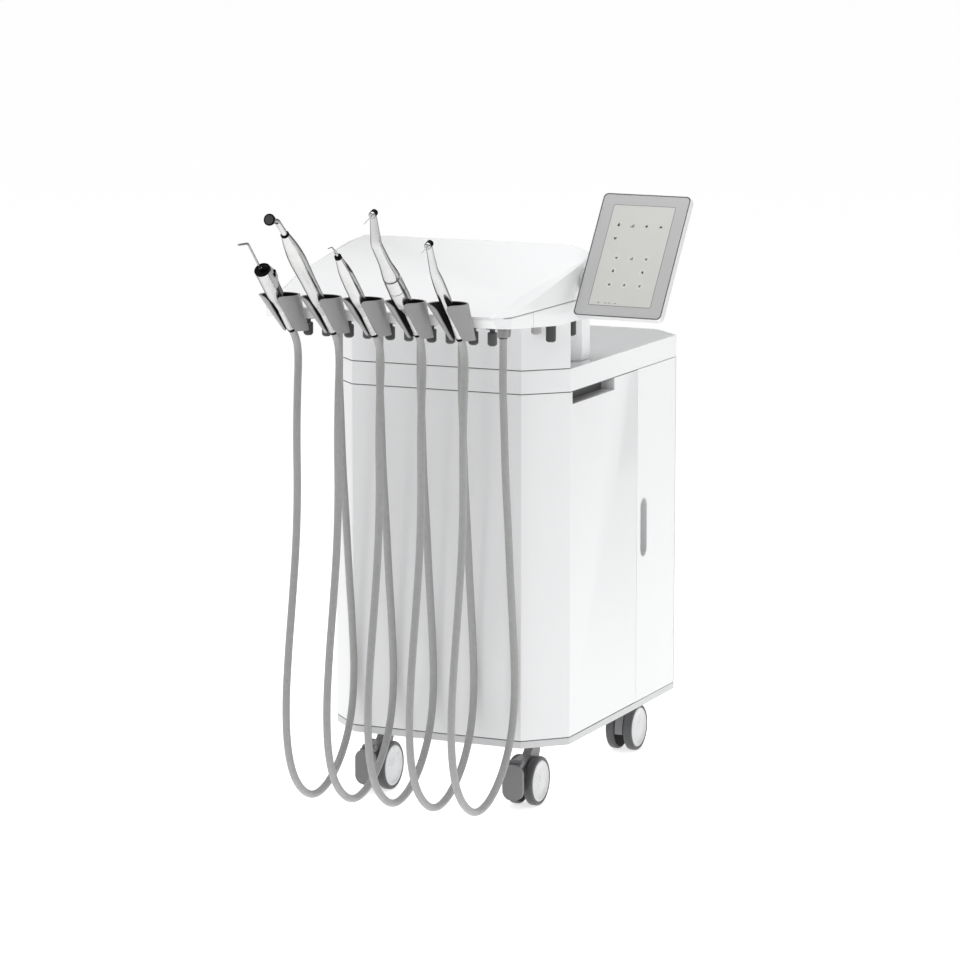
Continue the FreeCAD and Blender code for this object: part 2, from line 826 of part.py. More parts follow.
class Instrument:
    """Frame of one instrument, with +Z along its axis and away from its tail, and +Y on its back."""

    def __init__(self, index, place, lean, tail, roll=0.0):
        ahead, above = place
        self.x = cup_places()[index]
        self.base = V(self.x, head_front_y - ahead, z_cup_mouth + above)
        self.rotation = FreeCAD.Rotation(V(1, 0, 0), lean).multiply(FreeCAD.Rotation(V(0, 0, 1), roll))
        self.axis = self.rotation.multVec(V(0, 0, 1))
        self.tail = tail

    def place(self, shape):
        return placed(shape, self.base, self.rotation)

    def point(self, levels):
        """Point of the instrument's frame from level distances to its place: forward and up."""
        forward, up = levels
        return self.rotation.inverted().multVec(V(0, -forward, up))

    def tail_point(self):
        return self.base - self.axis * self.tail

    def grip(self, profile):
        """Boot and tail that lie in the cup's slot, then the profile above them."""
        lower = [(-self.tail, 0), (-self.tail, boot_radius), (boot_length - self.tail, tail_radius)]
        return turned(lower + list(profile) + [(profile[-1][0], 0)])


syringe = Instrument(0, syringe_place, syringe_lean, syringe_tail, syringe_roll)
curing_light = Instrument(1, lamp_place, lamp_lean, lamp_tail)
scaler = Instrument(2, scaler_place, scaler_lean, scaler_tail)
contra = Instrument(3, contra_place, contra_lean, contra_tail)
turbine_axis = Instrument(4, turbine_place, turbine_lean, turbine_tail)
instruments = (syringe, curing_light, scaler, contra, turbine_axis)


def bent_tube(points, radius, bend_radius):
    """Round bar along straight runs with a rounded turn at each inner point."""
    wire, radii = rounded_path(points, bend_radius)
    start = points[0]
    profile = Part.Wire(Part.makeCircle(radius, start, points[1] - points[0]))
    return wire.makePipeShell([profile], True, True)


def rounded_path(points, bend_radius=None):
    """Straight runs joined by tangent arcs. Without a given radius each arc is as large as its runs allow."""
    edges = []
    radii = []
    here = points[0]
    for before, corner, after in zip(points, points[1:], points[2:]):
        into = corner - before
        out = after - corner
        half_turn = into.getAngle(out) / 2
        if bend_radius is None:
            radius = 0.45 * min(into.Length, out.Length) / math.tan(half_turn)
        else:
            radius = bend_radius
        reach = radius * math.tan(half_turn)
        into.normalize()
        out.normalize()
        first = corner - into * reach
        last = corner + out * reach
        inward = (out - into).normalize()
        middle = corner + inward * (radius / math.cos(half_turn) - radius)
        edges.append(Part.LineSegment(here, first).toShape())
        edges.append(Part.Arc(first, middle, last).toShape())
        radii.append(radius)
        here = last
    edges.append(Part.LineSegment(here, points[-1]).toShape())
    return Part.Wire(edges), radii


def syringe_button_axis(side):
    """Ends of a button, inside and outside, on one side of the lever's middle."""
    x = side * button_spread
    return V(x, button_top - button_length, button_level), V(x, button_top, button_level)


def syringe_body():
    lever = side_prism(lever_outline, -lever_half, lever_half)
    nut = rod(V(0, lock_nut_offset, syringe_top), V(0, lock_nut_offset, syringe_top + lock_nut_height),
              lock_nut_radius)
    cap = rod(V(0, 0, syringe_top - 1), V(0, 0, syringe_top + cap_height), cap_radius)
    body = syringe.grip(syringe_profile).multiFuse([lever, nut, cap]).removeSplitter()
    for side in (-1, 1):
        inner, outer = syringe_button_axis(side)
        deep = V(inner.x, inner.y - button_travel - seat_gap, inner.z)
        body = body.cut(rod(deep, outer, button_radius + running_gap))
    low = V(0, -nozzle_offset, syringe_top - nozzle_seat)
    high = V(0, -nozzle_offset, syringe_top + cap_height + lock_nut_height)
    return syringe.place(body.cut(rod(low, high, nozzle_collar_radius)))


def syringe_nozzle():
    low = V(0, -nozzle_offset, syringe_top - nozzle_seat)
    top = V(0, -nozzle_offset, syringe_top + nozzle_collar_height)
    start = V(0, -nozzle_offset, syringe_top + nozzle_collar_height - 1)
    line = [start, syringe.point(nozzle_bend), syringe.point(nozzle_end)]
    tube = bent_tube(line, nozzle_radius, nozzle_bend_radius)
    return syringe.place(tube.fuse(rod(low, top, nozzle_collar_radius)))


def syringe_button(side):
    inner, outer = syringe_button_axis(side)
    return syringe.place(rod(inner, outer, button_radius))


def curing_light_body():
    return curing_light.place(curing_light.grip(lamp_profile))


def curing_light_tip():
    top = lamp_profile[-1][0]
    bend = curing_light.point(lamp_neck_bend)
    end = curing_light.point(lamp_neck_end)
    line = [V(0, 0, top), V(0, 0, top + lamp_neck_rise), bend, end]
    neck = bent_tube(line, lamp_neck_radius, lamp_neck_bend_radius)
    outward = (end - bend).normalize()
    lamp = rod(end - outward * lamp_disc_back, end + outward * lamp_disc_front, lamp_disc_radius)
    return curing_light.place(neck.fuse(lamp).removeSplitter())


def scaler_body():
    return scaler.place(scaler.grip(scaler_profile))


def scaler_tip():
    low = scaler_profile[-1][0]
    stub_low = low + hook_collar_height
    stub_top = stub_low + hook_stub_height
    collar = rod(V(0, 0, low), V(0, 0, stub_low), hook_collar_radius)
    stub = Part.makeCone(hook_stub_radius, 2 * hook_radius, hook_stub_height, V(0, 0, stub_low))
    line = [V(0, 0, stub_top - 1), scaler.point(hook_bend), scaler.point(hook_end)]
    hook = bent_tube(line, hook_radius, hook_bend_radius)
    return scaler.place(collar.multiFuse([stub, hook]).removeSplitter())


def micromotor():
    return contra.place(contra.grip(motor_profile))


def bur_line(axis, head):
    """Middle of an instrument's head and the direction its bur points to, in the instrument's frame."""
    return axis.point(head), axis.point(bur_direction).normalize()


def neck(elbow, middle):
    """Round knee at the elbow's (height, radius), and the slim part that narrows from it to the head."""
    level, radius = elbow
    top = V(0, 0, level)
    rise = middle - top
    return Part.makeSphere(radius, top).fuse(Part.makeCone(radius, neck_end_radius, rise.Length, top, rise))


def drum(middle, direction):
    return rod(middle - direction * (drum_length / 2), middle + direction * (drum_length / 2), drum_radius)


def bur_bore(middle, direction):
    face = middle + direction * (drum_length / 2)
    return rod(face - direction * (bur_seat + seat_gap), face + direction, bur_radius + running_gap)


def bur(middle, direction, length):
    face = middle + direction * (drum_length / 2)
    return rod(face - direction * bur_seat, face + direction * length, bur_radius)


def contra_angle():
    middle, direction = bur_line(contra, contra_head)
    low = (contra_profile[0][0], 0)
    elbow = contra_profile[-1]
    lower = turned([low, *contra_profile, (elbow[0], 0)])
    body = lower.multiFuse([neck(elbow, middle), drum(middle, direction)]).removeSplitter()
    return contra.place(body.cut(bur_bore(middle, direction)))


def contra_bur():
    return contra.place(bur(*bur_line(contra, contra_head), contra_bur_length))


def turbine():
    middle, direction = bur_line(turbine_axis, turbine_head)
    upper = neck(turbine_profile[-1], middle)
    body = turbine_axis.grip(turbine_profile).multiFuse([upper, drum(middle, direction)]).removeSplitter()
    return turbine_axis.place(body.cut(bur_bore(middle, direction)))


def turbine_bur():
    return turbine_axis.place(bur(*bur_line(turbine_axis, turbine_head), turbine_bur_length))


# ---- hoses ----

# Route of every hose in its own upright plane: (y, z) between the tail and the socket
hose_route = [(-490.0, 766.0), (-487.5, 740.0), (-492.0, 695.0), (-496.0, 620.0), (-494.0, 540.0),
              (-500.0, 455.0), (-514.0, 370.0), (-531.0, 280.0), (-541.0, 200.0), (-536.0, 128.0), (-509.0, 72.0),
              (-455.0, 36.0), (-398.0, 42.0), (-345.0, 78.0), (-309.0, 132.0), (-296.0, 200.0), (-302.0, 285.0),
              (-314.0, 375.0), (-324.0, 470.0), (-335.0, 555.0), (-340.0, 635.0), (-345.5, 700.0), (-344.0, 742.0)]


def hose_points(instrument):
    tail = instrument.tail_point()
    lead = tail - instrument.axis * hose_lead
    inner = [V(instrument.x, y, z) for y, z in hose_route]
    socket = V(instrument.x, -half_depth - socket_setback, z_head - socket_drop)
    return [tail, lead] + inner + [socket]


def hose(instrument):
    points = hose_points(instrument)
    wire, radii = rounded_path(points)
    profile = Part.Wire(Part.makeCircle(hose_radius, points[0], points[1] - points[0]))
    tube = wire.makePipeShell([profile], True, True)
    section = math.pi * hose_radius ** 2
    print("hose at x = %.0f: length %.0f mm, tube volume / section x length %.5f" %
          (instrument.x, wire.Length, tube.Volume / (section * wire.Length)))
    print("  bend radii", " ".join("%.0f" % radius for radius in radii))
    return tube


# ---- touch panel ----

tablet_base = V(head_side_half + tablet_reach, -half_depth + tablet_setback, z_head + tablet_rise)
tablet_rotation = (FreeCAD.Rotation(V(0, 0, 1), tablet_yaw).multiply(FreeCAD.Rotation(V(1, 0, 0), -tablet_lean)))
pin_y = tablet_thick + tilt_offset
ear_start = -tablet_width / 2 + ear_inset


def tablet_slab(margin, y0, y1):
    """Upright slab with rounded corners in the panel's own frame: X across, Y back, Z up."""
    half = tablet_width / 2 - margin
    slab = box(-half, half, y0, y1, margin, tablet_height - margin)
    corners = [edge for edge in slab.Edges if abs(edge.tangentAt(edge.FirstParameter).y) > 0.99]
    return slab.makeFillet(tablet_corner - margin / 2, corners)


def tablet_case():
    case = tablet_slab(0, 0, tablet_thick).cut(tablet_slab(glass_margin, -1, glass_thick))
    for index in range(2):
        x = ear_start + index * ear_spacing
        barrel = rod(V(x, pin_y, tilt_level), V(x + ear_thick, pin_y, tilt_level), ear_radius)
        root = box(x, x + ear_thick, tablet_thick - 1, pin_y, tilt_level - ear_radius, tilt_level + ear_radius)
        case = case.fuse(barrel.fuse(root))
    end = ear_start + ear_spacing + ear_thick
    bore = rod(V(ear_start - 1, pin_y, tilt_level), V(end + 1, pin_y, tilt_level), tilt_pin_radius + running_gap)
    return placed(case.cut(bore).removeSplitter(), tablet_base, tablet_rotation)


def tablet_glass():
    return placed(tablet_slab(glass_margin, 0, glass_thick), tablet_base, tablet_rotation)


def tablet_bracket():
    pad_end = -tablet_width / 2 - bracket_pad_clear
    inside_head = pad_end - bracket_length
    shoulder = ear_start - seat_gap
    pin_end = ear_start + ear_spacing + ear_thick
    arm = rod(V(inside_head, pin_y, tilt_level), V(shoulder, pin_y, tilt_level), arm_radius)
    pad = rod(V(inside_head, pin_y, tilt_level), V(pad_end, pin_y, tilt_level), bracket_pad_radius)
    pin = rod(V(shoulder, pin_y, tilt_level), V(pin_end, pin_y, tilt_level), tilt_pin_radius)
    bracket = placed(arm.multiFuse([pad, pin]), tablet_base, tablet_rotation)
    outside = bracket.cut(cover_solid(0)).cut(prism(head_plan(0, head_front_y), z_head, z_seam))
    return max(outside.Solids, key=lambda solid: solid.Volume)


# ---- casters ----

def caster_places():
    front_y = -half_depth + front_stem_setback
    rear_y = -half_depth + rear_stem_setback
    x = half_width - caster_inset
    return [("front_left", -x, front_y), ("front_right", x, front_y), ("rear_left", -x, rear_y),
            ("rear_right", x, rear_y)]


def caster_fork(with_pedal):
    """Stem, collar and middle web between the twin wheels; the stem is on the Z axis."""
    collar_top = floor_clearance - seat_gap
    collar_low = collar_top - collar_height
    half = fork_width / 2
    clip_top = z_plinth + seat_gap + 2
    stem = rod(V(0, 0, collar_low), V(0, 0, clip_top), caster_stem_radius)
    clip = rod(V(0, 0, z_plinth + seat_gap), V(0, 0, clip_top), caster_stem_radius + 2.5)
    collar = rod(V(0, 0, collar_low), V(0, 0, collar_top), caster_collar_radius)
    boss = rod(V(-half, -caster_trail, wheel_radius), V(half, -caster_trail, wheel_radius), boss_radius)
    web = side_prism([(caster_collar_radius, collar_low + 1), (caster_collar_radius, collar_low - 14),
                      (-caster_trail + boss_radius - 1, wheel_radius), (-caster_trail - boss_radius + 1, wheel_radius),
                      (-caster_collar_radius - 14, collar_low - 14), (-caster_collar_radius, collar_low + 1)],
                     -half, half)
    hood = rod(V(-half, -caster_trail, wheel_radius), V(half, -caster_trail, wheel_radius), hood_radius)
    hood = hood.cut(box(-far, far, -far, far, 0, wheel_radius - hood_drop))
    pieces = [stem, clip, boss, web, hood]
    if with_pedal:
        level = pedal_pivot_level
        nose = rod(V(-half, -pedal_pivot_reach, level), V(half, -pedal_pivot_reach, level), nose_radius)
        bar = box(-half, half, -pedal_pivot_reach, 0, level - nose_radius, level + nose_radius)
        pieces += [nose, bar]
    fork = collar.multiFuse(pieces).removeSplitter()
    fork = fork.cut(rod(V(-far, -caster_trail, wheel_radius), V(far, -caster_trail, wheel_radius),
                        axle_radius + running_gap))
    if with_pedal:
        fork = fork.cut(rod(V(-far, -pedal_pivot_reach, level), V(far, -pedal_pivot_reach, level),
                            pedal_pin_radius + running_gap))
    return fork


def wheel_faces():
    inner = wheel_spacing / 2
    return inner, inner + wheel_width


def caster_hubs():
    inner, outer = wheel_faces()
    axle = rod(V(-outer, -caster_trail, wheel_radius), V(outer, -caster_trail, wheel_radius), axle_radius)
    discs = [rod(V(side * inner, -caster_trail, wheel_radius), V(side * outer, -caster_trail, wheel_radius),
                 hub_radius) for side in (-1, 1)]
    return axle.multiFuse(discs).removeSplitter()


def caster_tyres():
    inner, outer = wheel_faces()
    rings = []
    for side in (-1, 1):
        disc = rod(V(side * inner, -caster_trail, wheel_radius), V(side * outer, -caster_trail, wheel_radius),
                   wheel_radius)
        rims = [edge for edge in disc.Edges if edge.Closed and len(edge.Vertexes) == 1]
        disc = disc.makeFillet(tyre_round, rims)
        rings.append(disc.cut(rod(V(-far, -caster_trail, wheel_radius), V(far, -caster_trail, wheel_radius),
                                  hub_radius)))
    return Part.makeCompound(rings)


def caster_pedal():
    half = pedal_width / 2
    outer_y = -pedal_reach
    plate = box(-half, half, outer_y, outer_y + pedal_thick, pedal_low, pedal_high)
    rims = [edge for edge in plate.Edges if abs(edge.tangentAt(edge.FirstParameter).y) > 0.99]
    plate = plate.makeFillet(pedal_round, rims)
    gap = fork_width / 2 + seat_gap
    level = pedal_pivot_level
    ears = []
    for side in (-1, 1):
        x0, x1 = sorted((side * gap, side * (gap + pedal_ear)))
        ear = box(x0, x1, outer_y + pedal_thick - 1, -pedal_pivot_reach, level - 5, level + 1)
        ears += [ear, rod(V(x0, -pedal_pivot_reach, level), V(x1, -pedal_pivot_reach, level), nose_radius - 1)]
    span = gap + pedal_ear
    pin = rod(V(-span, -pedal_pivot_reach, level), V(span, -pedal_pivot_reach, level), pedal_pin_radius)
    return plate.multiFuse(ears + [pin]).removeSplitter()


# ---- inside the cabinet ----

def tank_shape(x, margin, round_radius):
    """Cylinder with rounded ends; margin is taken off all round."""
    axis_z = z_plinth + saddle_height + tank_radius
    front = tank_rear - tank_length
    body = rod(V(x, front + margin, axis_z), V(x, tank_rear - margin, axis_z), tank_radius - margin)
    rims = [edge for edge in body.Edges if edge.Closed and len(edge.Vertexes) == 1]
    return body.makeFillet(round_radius, rims)


def pump(x, low):
    """Motor block with two finned cylinders on top."""
    width, depth, height = pump_size
    middle = tank_rear - tank_length / 2
    top = low + height
    pieces = [box(x - width / 2, x + width / 2, middle - depth / 2, middle + depth / 2, low, top)]
    for side in (-1, 1):
        y = middle + side * cylinder_spread
        pieces.append(rod(V(x, y, top), V(x, y, top + cylinder_height), cylinder_radius))
        for fin in range(fin_count):
            z = top + fin_reach + fin * fin_pitch
            pieces.append(rod(V(x, y, z), V(x, y, z + fin_thick), cylinder_radius + fin_reach))
    return pieces


def compressor():
    x = -half_width + tank_inset
    tank_top = z_plinth + saddle_height + 2 * tank_radius
    foot_top = z_plinth + saddle_height + foot_bite
    feet = []
    for y in (tank_rear - tank_length + foot_inset, tank_rear - foot_inset - foot_thick):
        feet.append(box(x - foot_half, x + foot_half, y, y + foot_thick, z_plinth, foot_top))
    tank = tank_shape(x, 0, tank_round)
    whole = tank.multiFuse(feet + pump(x, tank_top - pump_bite)).removeSplitter()
    return whole.cut(tank_shape(x, tank_wall, tank_round - tank_wall))


def water_bottle():
    shoulder = z_plinth + bottle_height
    neck_low = shoulder + bottle_shoulder
    cap_low = neck_low + bottle_neck_height
    cap_top = cap_low + bottle_cap_height
    profile = [(z_plinth, 0), (z_plinth, bottle_radius), (shoulder, bottle_radius), (neck_low, bottle_neck_radius),
               (cap_low, bottle_neck_radius), (cap_low, bottle_cap_radius), (cap_top, bottle_cap_radius),
               (cap_top, 0)]
    bottle = turned(profile)
    bottle.translate(V(half_width - bottle_inset, bottle_y, 0))
    return bottle


def inlet_block(margin):
    """Body of the mains inlet, from the control box through the rear panel."""
    half = inlet_width / 2 + margin
    z = z_plinth + control_level + inlet_level
    tall = inlet_height / 2 + margin
    return box(-half, half, half_depth - wall - 1, half_depth, z - tall, z + tall)


def control_box():
    back = half_depth - wall
    z = z_plinth + control_level
    case = box(-control_half, control_half, back - control_depth, back, z, z + control_height)
    width, tall, deep = inlet_socket
    middle = z + inlet_level
    cavity = box(-width / 2, width / 2, half_depth - deep, half_depth + 1, middle - tall / 2, middle + tall / 2)
    return case.fuse(inlet_block(0)).cut(cavity).removeSplitter()


# ---- every sub-part ----

def all_parts():
    parts = {
        "base_frame": base_frame(), "front_panel": front_panel(), "right_panel": right_panel(),
        "left_panel": left_panel(), "rear_panel": rear_panel(), "rim_band": rim_band(),
        "worktop": worktop(), "front_fascia": front_fascia(),
        "head_column": head_column(), "head_tray": head_tray(), "head_cover": head_cover(),
        "holder_rail": holder_rail(), "handpiece_holders": handpiece_holders(),
        "hose_sockets": hose_sockets(), "valve_caps": valve_caps(), "compressor": compressor(),
        "water_bottle": water_bottle(), "control_box": control_box(), "tablet_bracket": tablet_bracket(),
        "side_door": side_door(), "door_pull": door_pull(), "tablet_case": tablet_case(),
        "tablet_glass": tablet_glass(), "syringe_body": syringe_body(), "syringe_nozzle": syringe_nozzle(),
        "curing_light_body": curing_light_body(), "curing_light_tip": curing_light_tip(),
        "scaler_body": scaler_body(), "scaler_tip": scaler_tip(), "micromotor": micromotor(),
        "contra_angle": contra_angle(), "contra_bur": contra_bur(), "turbine": turbine(),
        "turbine_bur": turbine_bur(),
    }
    for name, side in (("syringe_air_button", -1), ("syringe_water_button", 1)):
        parts[name] = syringe_button(side)
    for number, (x, y) in enumerate(flow_places(), 1):
        parts["flow_knob_%d" % number] = flow_knob(x, y)
    for number, instrument in enumerate(instruments, 1):
        parts["hose_%d" % number] = hose(instrument)
    for name, x, y in caster_places():
        front = name.startswith("front")
        pieces = {"fork": caster_fork(front), "hubs": caster_hubs(), "tyres": caster_tyres()}
        if front:
            pieces["pedal"] = caster_pedal()
        for kind, shape in pieces.items():
            shape.translate(V(x, y, 0))
            parts["caster_%s_%s" % (name, kind)] = shape
    return parts


os.makedirs("parts", exist_ok=True)
for part_name, part_shape in all_parts().items():
    part_shape.exportStep("parts/%s.step" % part_name)
    state = "" if part_shape.isValid() else "  NOT VALID"
    print("%-26s %2d solids %12.0f mm3%s" % (part_name, len(part_shape.Solids), part_shape.Volume, state))
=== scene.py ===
import json
import math

import bmesh
import bpy
from mathutils import Matrix, Vector


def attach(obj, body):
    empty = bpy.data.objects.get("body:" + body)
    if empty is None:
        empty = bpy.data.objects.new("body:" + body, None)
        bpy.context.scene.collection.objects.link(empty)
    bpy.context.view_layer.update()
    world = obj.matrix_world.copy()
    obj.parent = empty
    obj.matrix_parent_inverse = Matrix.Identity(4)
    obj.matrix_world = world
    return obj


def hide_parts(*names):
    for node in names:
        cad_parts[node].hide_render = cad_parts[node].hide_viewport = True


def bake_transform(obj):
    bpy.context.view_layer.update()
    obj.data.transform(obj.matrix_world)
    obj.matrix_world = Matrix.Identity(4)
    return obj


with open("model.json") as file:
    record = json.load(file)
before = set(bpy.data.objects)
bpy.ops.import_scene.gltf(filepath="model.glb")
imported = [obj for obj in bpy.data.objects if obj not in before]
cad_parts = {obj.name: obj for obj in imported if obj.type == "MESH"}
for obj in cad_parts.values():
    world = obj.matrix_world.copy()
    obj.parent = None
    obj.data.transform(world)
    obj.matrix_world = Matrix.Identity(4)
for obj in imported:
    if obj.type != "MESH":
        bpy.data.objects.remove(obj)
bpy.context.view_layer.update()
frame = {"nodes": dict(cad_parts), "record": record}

NODES = frame["nodes"]
SLOT_OF = {part["node"]: part["material_slot"] for part in frame["record"]["subparts"]}
MM = 0.001

# ---- Sizes shared with the construction, in millimetres, in its frame ----

HEAD_FRONT = -500.0         # y of the head's front edge
CUP_MOUTH = 850.9           # z of the cups' mouths
CUP_FOOT = 789.4
CUP_TALL = CUP_MOUTH - CUP_FOOT
CUP_PITCH = 71.0
CUP_X = [(index - 2) * CUP_PITCH for index in range(5)]
CUP_LEAN = 55.5             # how far a cup leans forward from foot to mouth
CUP_TOP_RADIUS = 32.0
CUP_BOTTOM_RADIUS = 20.0
CUP_WALL = 2.8
SADDLE_HALF = 12.0          # half width of the block between a cup and the rail
CUP_FOOT_Y = HEAD_FRONT + 5.0
SLOT_HALF = 8.2
SLOT_ROUND = 10.0           # corners of a cup's slot at the mouth
FOOT_ROUND = 3.0            # and at the foot
HOSE_RADIUS = 6.0
TAIL_RADIUS = 7.3           # of an instrument where its hose enters
SOCKET_Y = -344.0
SOCKET_LOW = 774.0          # z where a hose enters its socket
LEAD_LENGTH = 11.0          # straight run of a hose behind the tail
TABLET_BASE = (295.6, -257.0, 803.6)        # middle of the front's lower edge
TABLET_YAW = -3.5           # degrees
TABLET_LEAN = 31.8          # degrees back from upright
TABLET_WIDTH = 152.0
TABLET_HEIGHT = 214.5
WHEEL_RADIUS = 40.0
CASTER_TRAIL = 21.0         # from the swivel's axis to the axle
LINE_TALL = 1.4             # painted-shade strips in the reveal lines and seams
GRIP_FLOOR = 183.0          # grip recess: x of its floor and of its mouth
GRIP_MOUTH = 203.0
GRIP_FRONT = -220.0
GRIP_REAR = -46.0
GRIP_LOW = 657.0
GRIP_TOP = 678.0


def add_object(name, data):
    obj = bpy.data.objects.new(name, data)
    bpy.context.scene.collection.objects.link(obj)
    return obj


# ---- Camera ----

CAMERA_PLACE = (2.6490, -5.9964, 1.5891)
CAMERA_AZIMUTH = 24.253     # degrees, from straight ahead towards the right
CAMERA_ELEVATION = 9.540
CAMERA_LENS = 150.37        # mm on a 36 mm square sensor


def add_camera():
    data = bpy.data.cameras.new("camera")
    data.lens = CAMERA_LENS
    data.sensor_width = 36.0
    data.clip_end = 50.0
    camera = add_object("camera", data)
    camera.location = CAMERA_PLACE
    az = math.radians(CAMERA_AZIMUTH)
    el = math.radians(CAMERA_ELEVATION)
    ahead = Vector((-math.sin(az) * math.cos(el), math.cos(az) * math.cos(el), -math.sin(el)))
    camera.rotation_euler = ahead.to_track_quat("-Z", "Y").to_euler()
    bpy.context.scene.camera = camera


# ---- Materials ----

class Shader:
    """A principled material with object-space coordinates for its procedural detail."""

    def __init__(self, name, color, roughness, metallic=0.0, **sockets):
        self.material = bpy.data.materials.new(name)
        self.material.use_nodes = True
        self.tree = self.material.node_tree
        self.bsdf = self.tree.nodes["Principled BSDF"]
        self.bsdf.inputs["Base Color"].default_value = (*color, 1.0)
        self.bsdf.inputs["Roughness"].default_value = roughness
        self.bsdf.inputs["Metallic"].default_value = metallic
        for socket, value in sockets.items():
            self.bsdf.inputs[socket.replace("_", " ")].default_value = value
        self.color = color
        self.roughness = roughness
        self.coordinates = self.tree.nodes.new("ShaderNodeTexCoord").outputs["Object"]

    def link(self, source, target):
        self.tree.links.new(source, target)

    def stretched(self, scale):
        mapping = self.tree.nodes.new("ShaderNodeMapping")
        mapping.inputs["Scale"].default_value = scale
        self.link(self.coordinates, mapping.inputs["Vector"])
        return mapping.outputs["Vector"]

    def noise(self, scale, detail=3.0, vector=None):
        node = self.tree.nodes.new("ShaderNodeTexNoise")
        node.inputs["Scale"].default_value = scale
        node.inputs["Detail"].default_value = detail
        self.link(vector or self.coordinates, node.inputs["Vector"])
        return node.outputs["Fac"]

    def spread(self, value, low, high):
        node = self.tree.nodes.new("ShaderNodeMapRange")
        node.inputs["To Min"].default_value = low
        node.inputs["To Max"].default_value = high
        self.link(value, node.inputs["Value"])
        return node.outputs["Result"]

    def vary_roughness(self, value, amount):
        varied = self.spread(value, self.roughness - amount, self.roughness + amount)
        self.link(varied, self.bsdf.inputs["Roughness"])

    def vary_color(self, value, amount):
        ramp = self.tree.nodes.new("ShaderNodeValToRGB")
        dark = [c * (1 - amount) for c in self.color]
        light = [min(1.0, c * (1 + amount)) for c in self.color]
        ramp.color_ramp.elements[0].position = 0.3
        ramp.color_ramp.elements[0].color = (*dark, 1)
        ramp.color_ramp.elements[1].position = 0.7
        ramp.color_ramp.elements[1].color = (*light, 1)
        self.link(value, ramp.inputs["Fac"])
        self.link(ramp.outputs["Color"], self.bsdf.inputs["Base Color"])

    def bump(self, value, height, strength):
        node = self.tree.nodes.new("ShaderNodeBump")
        node.inputs["Distance"].default_value = height
        node.inputs["Strength"].default_value = strength
        self.link(value, node.inputs["Height"])
        self.link(node.outputs["Normal"], self.bsdf.inputs["Normal"])


def lacquer(name, color, roughness=0.16):
    """Gloss lacquer: a faint orange peel, and a roughness that drifts over each panel."""
    shader = Shader(name, color, roughness, Coat_Weight=0.2, Coat_Roughness=0.08)
    shader.vary_roughness(shader.noise(3.0, 2.0), 0.03)
    shader.vary_color(shader.noise(1.7, 2.0), 0.006)
    shader.bump(shader.noise(240.0, 2.0), 0.00004, 0.35)
    return shader.material


def moulded(name, color, roughness, specular=0.5):
    """Satin moulded plastic with a fine spark-eroded grain."""
    shader = Shader(name, color, roughness, Specular_IOR_Level=specular)
    shader.vary_roughness(shader.noise(35.0), 0.05)
    shader.vary_color(shader.noise(60.0, 4.0), 0.012)
    shader.bump(shader.noise(2200.0, 2.0), 0.00006, 0.5)
    return shader.material


def rubber(name, color, roughness):
    """Soft silicone or tread rubber: matt, slightly mottled, with a faint dusty sheen."""
    shader = Shader(name, color, roughness, Specular_IOR_Level=0.35, Sheen_Weight=0.12, Sheen_Roughness=0.5)
    shader.vary_roughness(shader.noise(90.0), 0.06)
    shader.vary_color(shader.noise(140.0, 4.0), 0.05)
    shader.bump(shader.noise(1600.0, 3.0), 0.00005, 0.5)
    return shader.material


def metal(name, color, roughness, brushed=0.0, along=(1, 1, 1)):
    """Turned or polished metal; brushed gives fine lines round the piece."""
    shader = Shader(name, color, roughness, 1.0, Specular_Tint=(0.22, 0.22, 0.22, 1.0))
    lines = shader.noise(900.0, 3.0, shader.stretched(along))
    shader.vary_roughness(lines, 0.04 + 0.06 * brushed)
    shader.vary_color(shader.noise(70.0), 0.03)
    shader.bump(lines, 0.00002, 0.2 + 0.5 * brushed)
    return shader.material


def screen(name, color):
    """Backlit panel under gloss glass: very even, with a faint cloud of light."""
    shader = Shader(name, color, 0.22, Coat_Weight=0.6, Coat_Roughness=0.05, Emission_Color=(*color, 1.0),
                    Emission_Strength=0.12)
    shader.vary_roughness(shader.noise(9.0, 2.0), 0.03)
    shader.vary_color(shader.noise(14.0, 2.0), 0.02)
    shader.bump(shader.noise(900.0, 2.0), 0.00001, 0.2)
    return shader.material


